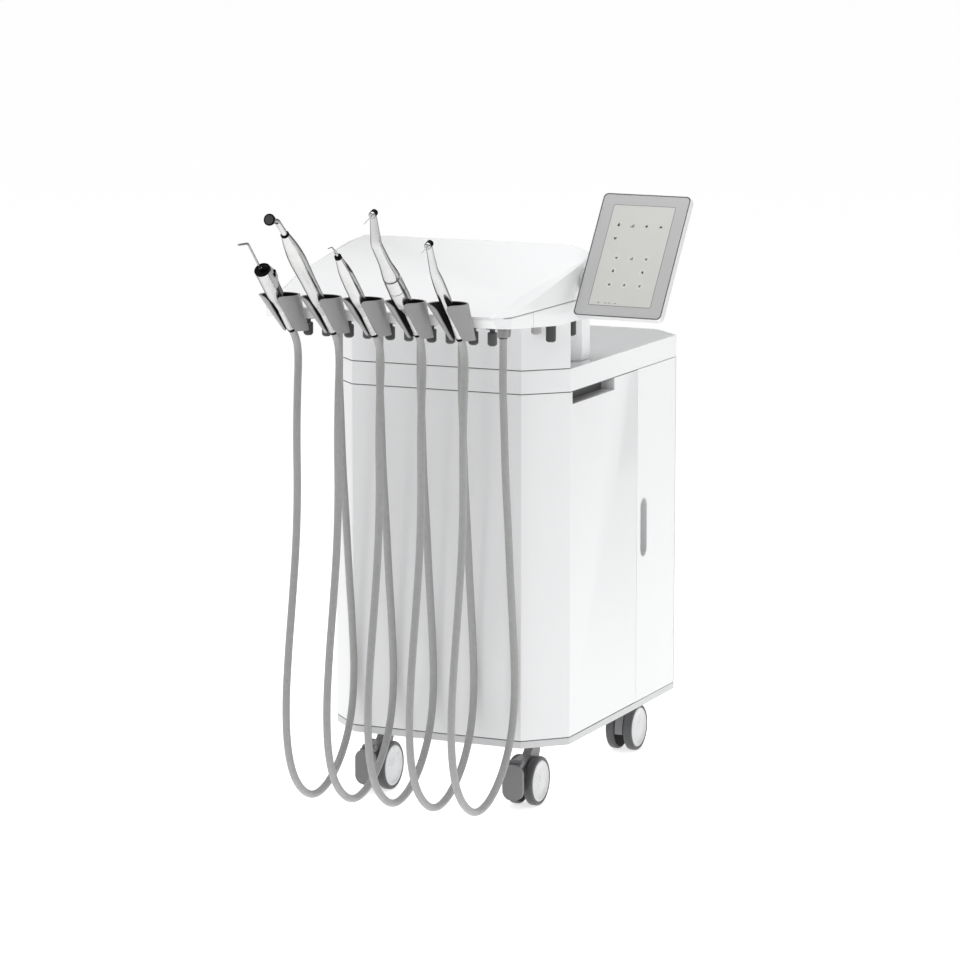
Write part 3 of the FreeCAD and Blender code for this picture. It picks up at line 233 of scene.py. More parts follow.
MATERIAL_TABLE = {
    lacquer: {
        "shell_white": ((0.86, 0.865, 0.872),),
        "bezel_gray": ((0.47, 0.472, 0.472), 0.2),
        "bezel_dark": ((0.10, 0.10, 0.10), 0.25),
    },
    moulded: {
        "frame_steel": ((0.66, 0.665, 0.67), 0.34),
        "worktop_gray": ((0.54, 0.545, 0.55), 0.4),
        "holder_gray": ((0.235, 0.235, 0.235), 0.34),
        "boot_gray": ((0.27, 0.27, 0.27), 0.45),
        "valve_dark": ((0.05, 0.05, 0.051), 0.42),
        "pull_gray": ((0.62, 0.625, 0.63), 0.35),
        "compressor_paint": ((0.06, 0.065, 0.075), 0.4),
        "bottle_plastic": ((0.62, 0.68, 0.72), 0.3),
        "control_plastic": ((0.10, 0.105, 0.11), 0.5),
        "bracket_gray": ((0.62, 0.625, 0.63), 0.35),
        "tablet_gray": ((0.72, 0.725, 0.73), 0.34),
        "caster_gray": ((0.19, 0.19, 0.195), 0.36),
        "hub_light": ((0.74, 0.745, 0.75), 0.28),
        "black_gloss": ((0.003, 0.003, 0.0032), 0.45, 0.04),
        "glyph_dark": ((0.05, 0.05, 0.05), 0.4),
        "glyph_faint": ((0.22, 0.22, 0.22), 0.4),
        # painted shade: inside the grip recesses and in the reveal lines
        "recess_dark": ((0.12, 0.12, 0.12), 0.5),
        # dark trim, and painted shade on the syringe's heel
        "heel_dark": ((0.02, 0.02, 0.021), 0.4, 0.3),
        "valve_light": ((0.36, 0.36, 0.36), 0.4),
        # painted shade: inside the cups and between the halves of each wheel
        "deep_dark": ((0.02, 0.02, 0.02), 0.7, 0.2),
    },
    rubber: {
        "hose_gray": ((0.36, 0.36, 0.358), 0.42),
        "tyre_gray": ((0.085, 0.085, 0.088), 0.42),
    },
    metal: {
        "instrument_light": ((0.60, 0.60, 0.595), 0.2, 0.15, (1, 1, 9)),
        "tool_steel": ((0.42, 0.42, 0.425), 0.16),
        "lamp_tip": ((0.58, 0.58, 0.58), 0.2),
        "satin_metal": ((0.56, 0.56, 0.565), 0.17, 0.3, (1, 1, 14)),
    },
    screen: {
        "tablet_screen": ((0.53, 0.528, 0.51),),
    },
}
MATERIALS = {name: make(name, *values)
             for make, rows in MATERIAL_TABLE.items() for name, values in rows.items()}


# ---- Mesh helpers: shapes are drawn in millimetres in a local frame, then set in place ----

ROW = Matrix.Scale(MM, 4)
BEVEL_ANGLE = 30.0          # edges sharper than this are broken
WELD = 2e-6                 # metres between two points of a CAD mesh that are one
FLAT_ANGLE = 0.6            # faces of a CAD mesh that differ by less become one


def local_frame(base, rotation):
    """Matrix from a local frame in millimetres to the row's frame in metres."""
    return Matrix.Translation(Vector(base) * MM) @ rotation @ Matrix.Scale(MM, 4)


def mesh_object(name, bm, material, smooth):
    """Turn a bmesh in metres into an object; edges sharper than the smooth angle stay sharp."""
    bmesh.ops.recalc_face_normals(bm, faces=bm.faces)
    mesh = bpy.data.meshes.new(name)
    bm.to_mesh(mesh)
    bm.free()
    mesh.shade_smooth()
    mesh.set_sharp_from_angle(angle=math.radians(smooth))
    mesh.materials.append(MATERIALS[material])
    return add_object(name, mesh)


def piece(name, bm, place, body, slot, material=None, replaces=(), smooth=35.0, bevel=0.0, segments=2):
    """Turn a bmesh into a finished piece that rides on a body; the bevel is in millimetres."""
    bm.transform(place)
    obj = mesh_object(name, bm, material or slot, smooth)
    if bevel:
        modifier = obj.modifiers.new("edge", "BEVEL")
        modifier.width = bevel * MM
        modifier.segments = segments
        modifier.limit_method = "ANGLE"
        modifier.angle_limit = math.radians(BEVEL_ANGLE)
        modifier.harden_normals = True
    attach(obj, body)
    if replaces:
        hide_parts(*replaces)


def turn_angles(count):
    return [2 * math.pi * index / count for index in range(count)]


def smooth_profile(points, steps=5):
    """Catmull-Rom line through (height, radius) points."""
    padded = [points[0]] + list(points) + [points[-1]]
    line = []
    for a, b, c, d in zip(padded, padded[1:], padded[2:], padded[3:]):
        for step in range(steps):
            t = step / steps
            line.append(tuple(0.5 * (2 * b[i] + (c[i] - a[i]) * t
                                     + (2 * a[i] - 5 * b[i] + 4 * c[i] - d[i]) * t * t
                                     + (3 * b[i] - a[i] - 3 * c[i] + d[i]) * t ** 3) for i in range(2)))
    return line + [points[-1]]


def add_lathe(bm, profile, segments, place=Matrix.Identity(4)):
    """Surface turned about Z from (height, radius) points; ends on the axis are closed with a fan."""
    rings = []
    for height, radius in profile:
        if radius < 1e-6:
            rings.append([bm.verts.new(place @ Vector((0, 0, height)))])
            continue
        rings.append([bm.verts.new(place @ Vector((radius * math.cos(a), radius * math.sin(a), height)))
                      for a in turn_angles(segments)])
    join_rings(bm, rings)


def join_rings(bm, rings):
    for low, high in zip(rings, rings[1:]):
        count = max(len(low), len(high))
        for index in range(count):
            after = (index + 1) % count
            if len(low) == 1 and len(high) == 1:
                continue
            if len(low) == 1:
                bm.faces.new((low[0], high[index], high[after]))
            elif len(high) == 1:
                bm.faces.new((low[index], low[after], high[0]))
            else:
                bm.faces.new((low[index], low[after], high[after], high[index]))


def join_rows(bm, rows):
    """Sheet over open rows of points."""
    for low, high in zip(rows, rows[1:]):
        for step in range(len(low) - 1):
            bm.faces.new((low[step], low[step + 1], high[step + 1], high[step]))


def add_box(bm, x0, x1, y0, y1, z0, z1, place=Matrix.Identity(4)):
    plan = ((x0, y0), (x1, y0), (x1, y1), (x0, y1))
    verts = [bm.verts.new(place @ Vector((x, y, z))) for z in (z0, z1) for x, y in plan]
    for face in ((0, 3, 2, 1), (4, 5, 6, 7), (0, 1, 5, 4), (1, 2, 6, 5), (2, 3, 7, 6), (3, 0, 4, 7)):
        bm.faces.new([verts[i] for i in face])


def add_plate(bm, outline, low, high, place):
    """Flat plate on a polygon of (x, y) points, from one height to another."""
    bottom = [bm.verts.new(place @ Vector((x, y, low))) for x, y in outline]
    top = [bm.verts.new(place @ Vector((x, y, high))) for x, y in outline]
    bm.faces.new(bottom[::-1])
    bm.faces.new(top)
    count = len(outline)
    for index in range(count):
        after = (index + 1) % count
        bm.faces.new((bottom[index], bottom[after], top[after], top[index]))


def add_strip(bm, start, end, low, high):
    """Upright strip between two plan points."""
    corners = ((*start, low), (*end, low), (*end, high), (*start, high))
    bm.faces.new([bm.verts.new(corner) for corner in corners])


def frames_along(points):
    """Two cross axes at each point of a line, without twist."""
    directions = []
    for index in range(len(points)):
        before = points[max(0, index - 1)]
        after = points[min(len(points) - 1, index + 1)]
        directions.append((after - before).normalized())
    side = directions[0].orthogonal().normalized()
    frames = []
    for direction in directions:
        side = (side - direction * side.dot(direction)).normalized()
        frames.append((side, direction.cross(side)))
    return frames


def add_tube(bm, points, radii, segments):
    """Round tube with closed ends along a line; radii is one number or one per point."""
    if not hasattr(radii, "__len__"):
        radii = [radii] * len(points)
    rings = []
    for point, radius, (side, up) in zip(points, radii, frames_along(points)):
        rings.append([bm.verts.new(point + (side * math.cos(angle) + up * math.sin(angle)) * radius)
                      for angle in turn_angles(segments)])
    rings = [[bm.verts.new(points[0])]] + rings + [[bm.verts.new(points[-1])]]
    join_rings(bm, rings)


def bend_line(points, radius):
    """Straight runs with a rounded turn at each inner point."""
    steps = 8
    line = [points[0]]
    for before, corner, after in zip(points, points[1:], points[2:]):
        into = (corner - before).normalized()
        out = (after - corner).normalized()
        half = into.angle(out) / 2
        reach = radius * math.tan(half)
        start = corner - into * reach
        end = corner + out * reach
        for step in range(steps + 1):
            t = step / steps
            line.append(start * (1 - t) ** 2 + corner * 2 * t * (1 - t) + end * t * t)
    return line + [points[-1]]


def rounded_outline(half_x, low, high, corner, steps=6):
    """Rectangle from -half_x to half_x and low to high with rounded corners, as (x, y) points."""
    centres = [(half_x - corner, high - corner, 0), (-half_x + corner, high - corner, 90),
               (-half_x + corner, low + corner, 180), (half_x - corner, low + corner, 270)]
    points = []
    for cx, cy, start in centres:
        for step in range(steps + 1):
            angle = math.radians(start + 90 * step / steps)
            points.append((cx + corner * math.cos(angle), cy + corner * math.sin(angle)))
    return points


def crisp_copy(node, body, slot, bevel, segments=2):
    """The node's own shape as one clean mesh, with its hard edges broken."""
    bm = bmesh.new()
    bm.from_mesh(NODES[node].data)
    bmesh.ops.remove_doubles(bm, verts=bm.verts, dist=WELD)
    bmesh.ops.dissolve_limit(bm, angle_limit=math.radians(FLAT_ANGLE), verts=bm.verts, edges=bm.edges)
    piece(node + "_skin", bm, Matrix.Identity(4), body, slot, None, (node,), BEVEL_ANGLE, bevel, segments)


def color_bare_nodes():
    """Nodes that no piece replaces get their slot's material."""
    for name, node in NODES.items():
        if not node.hide_render:
            node.data.materials.clear()
            node.data.materials.append(MATERIALS[SLOT_OF[name]])


# ---- Cabinet ----

def dress_cabinet():
    for node in ("front_panel", "right_panel", "left_panel", "rear_panel", "rim_band", "front_fascia",
                 "head_column"):
        crisp_copy(node, "root", "shell_white", 0.5)
    crisp_copy("base_frame", "root", "frame_steel", 0.9, 3)
    crisp_copy("worktop", "root", "worktop_gray", 0.4)
    crisp_copy("side_door", "door", "shell_white", 0.5)
    crisp_copy("door_pull", "door", "pull_gray", 0.5)
    crisp_copy("compressor", "root", "compressor_paint", 1.0)
    crisp_copy("control_box", "root", "control_plastic", 1.0)
    crisp_copy("tablet_bracket", "root", "bracket_gray", 0.5)
    add_grip_shade_sheets()
    add_reveal_shade_strips()


def add_grip_shade_sheets():
    """Dark sheets of painted shade on the floor, front end and ceiling of the grip recess in each side."""
    sheet = 0.5
    bm = bmesh.new()
    for side in (-1, 1):
        x0, x1 = sorted((side * GRIP_FLOOR, side * (GRIP_FLOOR + sheet)))
        add_box(bm, x0, x1, GRIP_FRONT, GRIP_REAR, GRIP_LOW, GRIP_TOP)
        x0, x1 = sorted((side * GRIP_FLOOR, side * GRIP_MOUTH))
        add_box(bm, x0, x1, GRIP_FRONT, GRIP_FRONT + sheet, GRIP_LOW, GRIP_TOP)
        add_box(bm, x0, x1, GRIP_FRONT, GRIP_REAR, GRIP_TOP - sheet, GRIP_TOP)
    piece("grip_shade_sheets", bm, ROW, "root", "shell_white", "recess_dark", bevel=0.2, segments=1)


def add_reveal_shade_strips():
    """Dark strips of painted shade in the reveal lines over the base, under the rim and over the rim's front.
    """
    front = [(-206.0, -227.6), (-147.6, -286.0), (147.6, -286.0), (206.0, -227.6)]
    door_edge = (206.0, 53.0)
    whole = [(206.0, 227.6), (147.6, 286.0), (-147.6, 286.0), (-206.0, 227.6)] + front + [door_edge]
    bm = bmesh.new()
    for corners, low in ((whole, 118.1), (whole, 676.5), (front, 714.1)):
        for start, end in zip(corners, corners[1:]):
            add_strip(bm, start, end, low, low + LINE_TALL)
    piece("reveal_shade_strips", bm, ROW, "root", "shell_white", "recess_dark")


# ---- Delivery head ----

def dress_head():
    crisp_copy("head_cover", "root", "shell_white", 2.2, 4)
    crisp_copy("head_tray", "root", "shell_white", 1.2, 3)
    crisp_copy("holder_rail", "root", "shell_white", 0.8)
    add_head_seam_shade()


def add_head_seam_shade():
    """Gray strips of painted shade in the seam round the tray's top and in the joint of each of its sides."""
    seam_low = 821.5
    joint_x = 209.0
    right = [(199.0, -481.0), (207.9, -464.0), (211.9, -157.0), (183.9, -83.1)]
    plan = right + [(-x, y) for x, y in right[::-1]]
    bm = bmesh.new()
    for start, end in zip(plan, plan[1:]):
        add_strip(bm, start, end, seam_low, seam_low + LINE_TALL)
    for side in (-1, 1):
        add_strip(bm, (side * joint_x, -382.9), (side * joint_x, -381.5), 799.0, seam_low + 0.1)
    piece("head_seam_shade", bm, ROW, "root", "shell_white", "valve_light")


def cup_section(x, share, shrink):
    """Level circle of a cup's cone: its centre and radius at a share of its height."""
    radius = CUP_BOTTOM_RADIUS + (CUP_TOP_RADIUS - CUP_BOTTOM_RADIUS) * share - shrink
    centre = Vector((x, CUP_FOOT_Y - CUP_LEAN * share, CUP_FOOT + CUP_TALL * share))
    return centre, radius


def slot_half(height):
    """Half width of a cup's front opening; its corners are rounded at the mouth and at the foot."""
    near_top = min(SLOT_ROUND, max(0.0, height - (CUP_TALL - SLOT_ROUND)))
    near_foot = min(FOOT_ROUND, max(0.0, FOOT_ROUND - height))
    top = SLOT_ROUND - math.sqrt(SLOT_ROUND ** 2 - near_top ** 2)
    foot = FOOT_ROUND - math.sqrt(FOOT_ROUND ** 2 - near_foot ** 2)
    return SLOT_HALF + top + foot


def cup_heights():
    """Levels of a cup's rows, closer together where the slot's corners turn."""
    turns = [math.sin(math.radians(angle)) for angle in range(0, 91, 9)]
    foot = [FOOT_ROUND * (1 - turn) for turn in turns[::-2]]
    middle = [FOOT_ROUND + (CUP_TALL - SLOT_ROUND - FOOT_ROUND) * step / 12 for step in range(1, 12)]
    return foot + middle + [CUP_TALL - SLOT_ROUND + SLOT_ROUND * turn for turn in turns]


def add_cup_row(bm, x, height, shrink, around):
    """Level row of points round a cup, from one side of its slot to the other."""
    centre, radius = cup_section(x, height / CUP_TALL, shrink)
    half = math.asin(min(0.95, slot_half(height) / radius))
    angles = [-math.pi / 2 + half + (2 * math.pi - 2 * half) * step / around for step in range(around + 1)]
    return [bm.verts.new(centre + Vector((math.cos(angle), math.sin(angle), 0)) * radius) for angle in angles]


def add_cup(bm, x):
    """Open cup: outer and inner wall and a front slot with rounded corners."""
    around = 56
    loops = [[add_cup_row(bm, x, height, shrink, around) for shrink in (0.0, CUP_WALL)]
             for height in cup_heights()]
    for low, high in zip(loops, loops[1:]):
        for step in range(around):
            bm.faces.new((low[0][step], low[0][step + 1], high[0][step + 1], high[0][step]))
            bm.faces.new((low[1][step + 1], low[1][step], high[1][step], high[1][step + 1]))
        bm.faces.new((low[1][0], low[0][0], high[0][0], high[1][0]))
        bm.faces.new((low[0][-1], low[1][-1], high[1][-1], high[0][-1]))
    for row, flip in ((loops[0], False), (loops[-1], True)):
        for step in range(around):
            face = [row[0][step], row[1][step], row[1][step + 1], row[0][step + 1]]
            bm.faces.new(face[::-1] if flip else face)


def add_cup_shade_skin(bm, x):
    """Dark inner skin of painted shade in a cup, up to just below its mouth."""
    top = CUP_TALL - 1.2
    heights = [height for height in cup_heights() if height < top] + [top]
    join_rows(bm, [add_cup_row(bm, x, height, CUP_WALL + 0.12, 48) for height in heights])


TURN_SIDE = Matrix(((0, 0, 1, 0), (1, 0, 0, 0), (0, 1, 0, 0), (0, 0, 0, 1)))  # plate outlines become (y, z)


def dress_cups():
    outline = [(-505.0, 821.6), (-499.8, 821.6), (-490.2, 808.6), (-501.5, 808.6)]
    cups = bmesh.new()
    shade_skins = bmesh.new()
    saddles = bmesh.new()
    for x in CUP_X:
        add_cup(cups, x)
        add_cup_shade_skin(shade_skins, x)
        add_plate(saddles, outline, x - SADDLE_HALF, x + SADDLE_HALF, TURN_SIDE)
    piece("cups", cups, ROW, "root", "holder_gray", bevel=0.9, segments=3, replaces=("handpiece_holders",))
    # near-black skins inside the cups: painted shade
    piece("cup_shade_skins", shade_skins, ROW, "root", "holder_gray", "deep_dark")
    piece("cup_saddles", saddles, ROW, "root", "holder_gray", bevel=0.8)


def dress_sockets():
    """Clamp blocks under the head, each with a thin flange and a split line; the hose leaves in front."""
    blocks = bmesh.new()
    flanges = bmesh.new()
    collars = bmesh.new()
    for x in CUP_X:
        profile = [(-351.0, 788.0), (-327.0, 788.0), (-331.0, 774.0), (-351.0, 774.0)]
        add_plate(blocks, profile, x - 7.2, x + 7.2, TURN_SIDE)
        add_box(flanges, x - 8.2, x + 8.2, -352.0, -326.0, 787.6, 794.0)
        add_box(flanges, x - 7.4, x + 7.4, -336.2, -335.4, 774.5, 788.0)
        add_lathe(collars, [(772.6, 0), (772.6, 6.3), (773.2, 6.9), (774.4, 6.9), (774.4, 0)], 32,
                  Matrix.Translation((x, SOCKET_Y, 0)))
    piece("hose_clamps", blocks, ROW, "root", "boot_gray", replaces=("hose_sockets",), bevel=1.6, segments=3)
    piece("clamp_flanges", flanges, ROW, "root", "boot_gray", "heel_dark", bevel=0.4)
    piece("clamp_collars", collars, ROW, "root", "boot_gray", "heel_dark")


def knob_profile(low, high, neck_top):
    return [(low, 0), (low, 4.6), (low + 0.5, 5.3), (low + 2.0, 7.0), (low + 2.6, 7.5), (high - 0.8, 7.5),
            (high, 6.8), (high, 4.2), (neck_top, 4.2), (neck_top, 0)]


def dress_valves():
    y = -421.0
    aside = 16.0            # from the hose's line to a valve's axis
    low = 771.5
    high = 792.5
    collar_low = 798.0
    collar_top = 803.0
    collar = [(collar_low, 0), (collar_low, 10.4), (collar_low + 0.6, 11.0), (collar_top, 11.0),
              (collar_top, 0)]
    fixed = bmesh.new()
    for number, x in enumerate(CUP_X, 1):
        left, right = [Matrix.Translation((x + side * aside, y, 0)) for side in (-1, 1)]
        add_lathe(fixed, collar, 36, left)
        add_lathe(fixed, collar, 36, right)
        add_lathe(fixed, knob_profile(low, high, collar_low), 28, right)
        turning = bmesh.new()
        add_lathe(turning, knob_profile(low, high, collar_low - 0.3), 28, left)
        for angle in turn_angles(12):
            place = left @ Matrix.Rotation(angle, 4, "Z")
            add_box(turning, 7.2, 7.75, -0.5, 0.5, low + 3.5, high - 1.6, place)
        piece("flow_knob_%d_grip" % number, turning, ROW, "knob_%d" % number, "valve_dark",
              replaces=("flow_knob_%d" % number,))
    light = bmesh.new()
    for bm, x, y_side, length, top in ((fixed, 193, -275, 28, 790), (fixed, 191, -189, 28, 790),
                                       (light, 185, -314, 14, 792.3)):
        end = top - length
        profile = [(end, 0), (end, 5.4), (end + 0.6, 6.2), (end + 2.2, 8.0), (top, 8.0), (top, 0)]
        add_lathe(bm, profile, 32, Matrix.Translation((x, y_side, 0)))
    piece("valve_bodies", fixed, ROW, "root", "valve_dark", replaces=("valve_caps",), smooth=40)
    piece("front_side_valve", light, ROW, "root", "valve_dark", "valve_light", smooth=40)


# ---- Instruments ----

class Instrument:
    """Local frame of one instrument: +Z along its axis, away from its tail."""

    def __init__(self, body, index, ahead, above, lean, tail, roll=0.0):
        self.body = body
        self.x = CUP_X[index]
        self.base = Vector((self.x, HEAD_FRONT - ahead, CUP_MOUTH + above))
        self.lean = Matrix.Rotation(math.radians(lean), 4, "X")
        self.turn = self.lean @ Matrix.Rotation(math.radians(roll), 4, "Z")
        self.place = local_frame(self.base, self.turn)
        self.axis = self.lean.to_3x3() @ Vector((0, 0, 1))
        self.tail = tail

    def point(self, forward, up):
        """Local point from level distances to the base: towards -Y and +Z."""
        return self.turn.to_3x3().inverted() @ Vector((0, -forward, up))

    def tail_point(self):
        return self.base - self.axis * self.tail


SYRINGE = Instrument("syringe", 0, 69.0, 4.1, 43.7, 88.0, -70.0)
LAMP = Instrument("curing_light", 1, 66.0, 1.1, 44.5, 86.0)
SCALER = Instrument("scaler", 2, 69.0, 4.1, 43.7, 89.0)
CONTRA = Instrument("slow_handpiece", 3, 59.0, 1.1, 43.7, 80.0)
TURBINE = Instrument("fast_handpiece", 4, 50.0, -4.9, 39.8, 71.0)
INSTRUMENTS = (SYRINGE, LAMP, SCALER, CONTRA, TURBINE)


def lathe_piece(name, profile, instrument, slot, material=None, replaces=(), segments=56,
                place=Matrix.Identity(4)):
    """Turned piece of an instrument, on its axis or set in place within its frame."""
    bm = bmesh.new()
    add_lathe(bm, profile, segments, place)
    piece(name, bm, instrument.place, instrument.body, slot, material, replaces)


def add_boot(instrument, name):
    """Black ring where the hose enters the tail."""
    tail = -instrument.tail
    profile = [(tail, 0), (tail, 6.0), (tail + 0.6, 6.5), (tail + 2.6, 6.9), (tail + 5.6, 7.35),
               (tail + 6.0, 7.0), (tail + 6.0, 0)]
    lathe_piece(name + "_boot", profile, instrument, "boot_gray", "black_gloss", segments=40)


def grip_profile(instrument, points):
    """Tail that lies in the slot, then a smooth body through the points."""
    tail = -instrument.tail
    return [(tail + 6.0, 0), (tail + 6.0, 7.0)] + smooth_profile([(tail + 7.0, TAIL_RADIUS)] + points)


def add_patch(bm, profile_at, low, high, middle, half_angle, lift):
    """Thin raised pad with rounded ends on a turned body; angles in degrees about its axis."""
    steps = 14              # along the body and across it
    rows = []
    for index in range(steps + 1):
        share = index / steps
        height = low + (high - low) * share
        width = half_angle * math.sin(math.pi * share) ** 0.6
        row = []
        for step in range(steps + 1):
            across = 2 * step / steps - 1
            angle = math.radians(middle + width * across)
            rise = lift * (1 - across ** 4) * min(1.0, 6 * share, 6 * (1 - share))
            radius = profile_at(height) + rise - 0.15
            row.append(bm.verts.new((radius * math.cos(angle), radius * math.sin(angle), height)))
        rows.append(row)
    join_rows(bm, rows)


def radius_on(points):
    """Function that gives a body's radius at a height from its (height, radius) points."""
    line = smooth_profile(points, 8)

    def at(height):
        for (z0, r0), (z1, r1) in zip(line, line[1:]):
            if z0 <= height <= z1 and z1 > z0:
                return r0 + (r1 - r0) * (height - z0) / (z1 - z0)
        return line[-1][1]
    return at


def dress_syringe():
    top = 54.0
    spout_y = -1.5
    spout = Matrix.Translation((0, spout_y, 0))
    add_boot(SYRINGE, "syringe")
    body = grip_profile(SYRINGE, [(-44, 7.3), (-36, 7.3), (-18, 9.2), (-8, 11.2), (4, 12.2),
                                  (top - 1.4, 12.5)])
    lathe_piece("syringe_grip", body + [(top - 1.4, 0)], SYRINGE, "instrument_light",
                replaces=("syringe_body",), segments=64)
    bm = bmesh.new()
    add_lathe(bm, [(top - 2, 0), (top - 2, 12.2), (top - 1.4, 12.8), (top + 1.4, 12.8), (top + 2.2, 12.2),
                   (top + 2.2, 10.9), (top + 1.2, 10.4), (top + 1.2, 0)], 64)
    nut = [(top, 0), (top, 5.0), (top + 1.4, 5.0), (top + 1.8, 4.5), (top + 2.8, 4.5), (top + 3.2, 5.0),
           (top + 4.2, 4.9), (top + 4.6, 4.3), (top + 5.4, 4.1), (top + 6.3, 3.0), (top + 6.8, 1.4),
           (top + 6.9, 0)]
    add_lathe(bm, nut, 36, Matrix.Translation((0, 5.2, 0)))
    add_lathe(bm, [(top, 0), (top, 3.6), (top + 3.0, 3.2), (top + 4.2, 2.4), (top + 4.2, 0)], 28, spout)
    piece("syringe_cap", bm, SYRINGE.place, "syringe", "instrument_light", "black_gloss")
    lever = [(4.0, 52.4), (10.4, 53.6), (13.4, 47.0), (15.7, 38.6), (16.4, 31.0), (15.2, 24.0), (13.6, 19.0),
             (4.0, 11.0)]
    bm = bmesh.new()
    add_plate(bm, lever, -8.7, 8.7, TURN_SIDE)
    piece("syringe_lever_block", bm, SYRINGE.place, "syringe", "instrument_light", "valve_light", bevel=1.2,
          segments=3)
    # the heel under the lever block is near-black: painted shade below the lever
    heel = [(4.0, 11.4), (13.4, 18.6), (12.5, 8.0), (12.3, -9.0), (4.0, -9.0)]
    bm = bmesh.new()
    add_plate(bm, heel, -8.4, 8.4, TURN_SIDE)
    piece("syringe_heel", bm, SYRINGE.place, "syringe", "instrument_light", "heel_dark", bevel=1.0,
          segments=3)
    for node, body, side in (("syringe_air_button", "air_button", -1),
                             ("syringe_water_button", "water_button", 1)):
        bm = bmesh.new()
        out = Matrix.Translation((side * 3.7, 0, 42.0)) @ Matrix.Rotation(math.radians(-90), 4, "X")
        profile = [(7.8, 0), (7.8, 2.9), (16.4, 2.9), (17.1, 2.5), (17.5, 1.4), (17.5, 0)]
        add_lathe(bm, profile, 28, out)
        piece(node + "_cap", bm, SYRINGE.place, body, "valve_dark", "black_gloss", (node,))
    line = bend_line([Vector((0, spout_y, top + 1.0)), SYRINGE.point(84.0, 84.0),
                      SYRINGE.point(115.0, 85.0)], 9.0)
    bm = bmesh.new()
    radii = [1.7] * (len(line) - 1) + [1.45]
    add_tube(bm, line, radii, 18)
    add_lathe(bm, [(top - 6, 0), (top - 6, 2.1), (top + 5.6, 2.1), (top + 6.2, 1.5), (top + 6.2, 0)], 24,
              spout)
    piece("syringe_tip", bm, SYRINGE.place, "syringe", "tool_steel", replaces=("syringe_nozzle",))


def dress_lamp():
    add_boot(LAMP, "lamp")
    points = [(-44, 7.3), (-36, 7.4), (-20, 9.0), (-10, 10.3), (0, 11.1), (20, 11.4), (40, 11.7), (60, 12.4),
              (78, 13.0), (90, 13.1), (104, 12.4), (118, 11.0), (130, 9.3), (140, 7.6), (146.2, 6.2)]
    lathe_piece("lamp_grip", grip_profile(LAMP, points) + [(146.2, 0)], LAMP, "instrument_light",
                replaces=("curing_light_body",), segments=72)
    bm = bmesh.new()
    add_patch(bm, radius_on(points), 96.0, 142.0, 4.0, 30.0, 0.45)
    piece("lamp_touch_pad", bm, LAMP.place, "curing_light", "instrument_light", "lamp_tip", smooth=60)
    ring = [(145.6, 0), (145.6, 6.1), (146.1, 6.7), (148.6, 6.7), (149.1, 6.1), (149.1, 0)]
    lathe_piece("lamp_ring", ring, LAMP, "instrument_light", "black_gloss")
    bend = LAMP.point(128.0, 127.0)
    end = LAMP.point(150.0, 131.5)
    line = bend_line([Vector((0, 0, 148.5)), Vector((0, 0, 158.5)), bend, end], 9.0)
    radii = [4.6 - 0.5 * index / (len(line) - 1) for index in range(len(line))]
    bm = bmesh.new()
    add_tube(bm, line, radii, 32)
    out = (end - bend).normalized()
    face = Matrix.Translation(end) @ out.to_track_quat("Z", "Y").to_matrix().to_4x4()
    flare = smooth_profile([(-7.0, 3.8), (-4.5, 5.8), (-1.5, 7.8), (1.0, 8.6)], 4)
    add_lathe(bm, flare + [(2.0, 8.7), (2.0, 0)], 40, face)
    piece("lamp_neck", bm, LAMP.place, "curing_light", "lamp_tip", replaces=("curing_light_tip",))
    rim = [(1.8, 0), (1.8, 8.8), (3.0, 9.1), (4.6, 9.0), (5.2, 8.4), (5.2, 7.6), (4.4, 7.2), (4.4, 0)]
    lathe_piece("lamp_rim", rim, LAMP, "lamp_tip", "black_gloss", segments=44, place=face)
    lens = [(4.3, 0), (4.3, 7.2), (4.7, 7.0), (4.9, 4.0), (5.0, 0)]
    lathe_piece("lamp_lens", lens, LAMP, "lamp_tip", "valve_dark", segments=44, place=face)


def dress_scaler():
    add_boot(SCALER, "scaler")
    points = [(-44, 7.3), (-36, 7.3), (-18, 9.0), (-8, 10.5), (0, 11.3), (20, 11.3), (38, 11.1), (53, 10.5),
              (64, 9.6), (72, 8.5), (83, 6.5), (92, 5.5)]
    lathe_piece("scaler_grip", grip_profile(SCALER, points) + [(92, 0)], SCALER, "instrument_light",
                replaces=("scaler_body",), segments=72)
    bm = bmesh.new()
    add_patch(bm, radius_on(points), 57.0, 80.0, 6.0, 20.0, 0.4)
    piece("scaler_window", bm, SCALER.place, "scaler", "instrument_light", "heel_dark", smooth=60)
    ring = [(91.4, 0), (91.4, 5.2), (92.0, 5.6), (96.2, 5.5), (97.0, 4.9), (97.0, 0)]
    lathe_piece("scaler_ring", ring, SCALER, "instrument_light", "black_gloss")
    bm = bmesh.new()
    add_lathe(bm, [(96.5, 0), (96.5, 2.6), (99.5, 2.2), (103.0, 2.0), (103.4, 2.9), (105.0, 2.9),
                   (105.4, 1.8), (109.0, 1.5), (109.5, 0)], 24)
    line = bend_line([Vector((0, 0, 108.0)), SCALER.point(86.0, 85.0), SCALER.point(99.0, 84.0)], 4.0)
    radii = [1.15 - 0.5 * index / (len(line) - 1) for index in range(len(line))]
    add_tube(bm, line, radii, 14)
    piece("scaler_hook", bm, SCALER.place, "scaler", "tool_steel", replaces=("scaler_tip",))


NECK_SEGMENTS = 48
NECK_SMOOTH = 50.0


def head_points(instrument, forward, up):
    """Middle of an instrument's head and the direction of its bur."""
    return instrument.point(forward, up), instrument.point(0.93, -0.37).normalized()


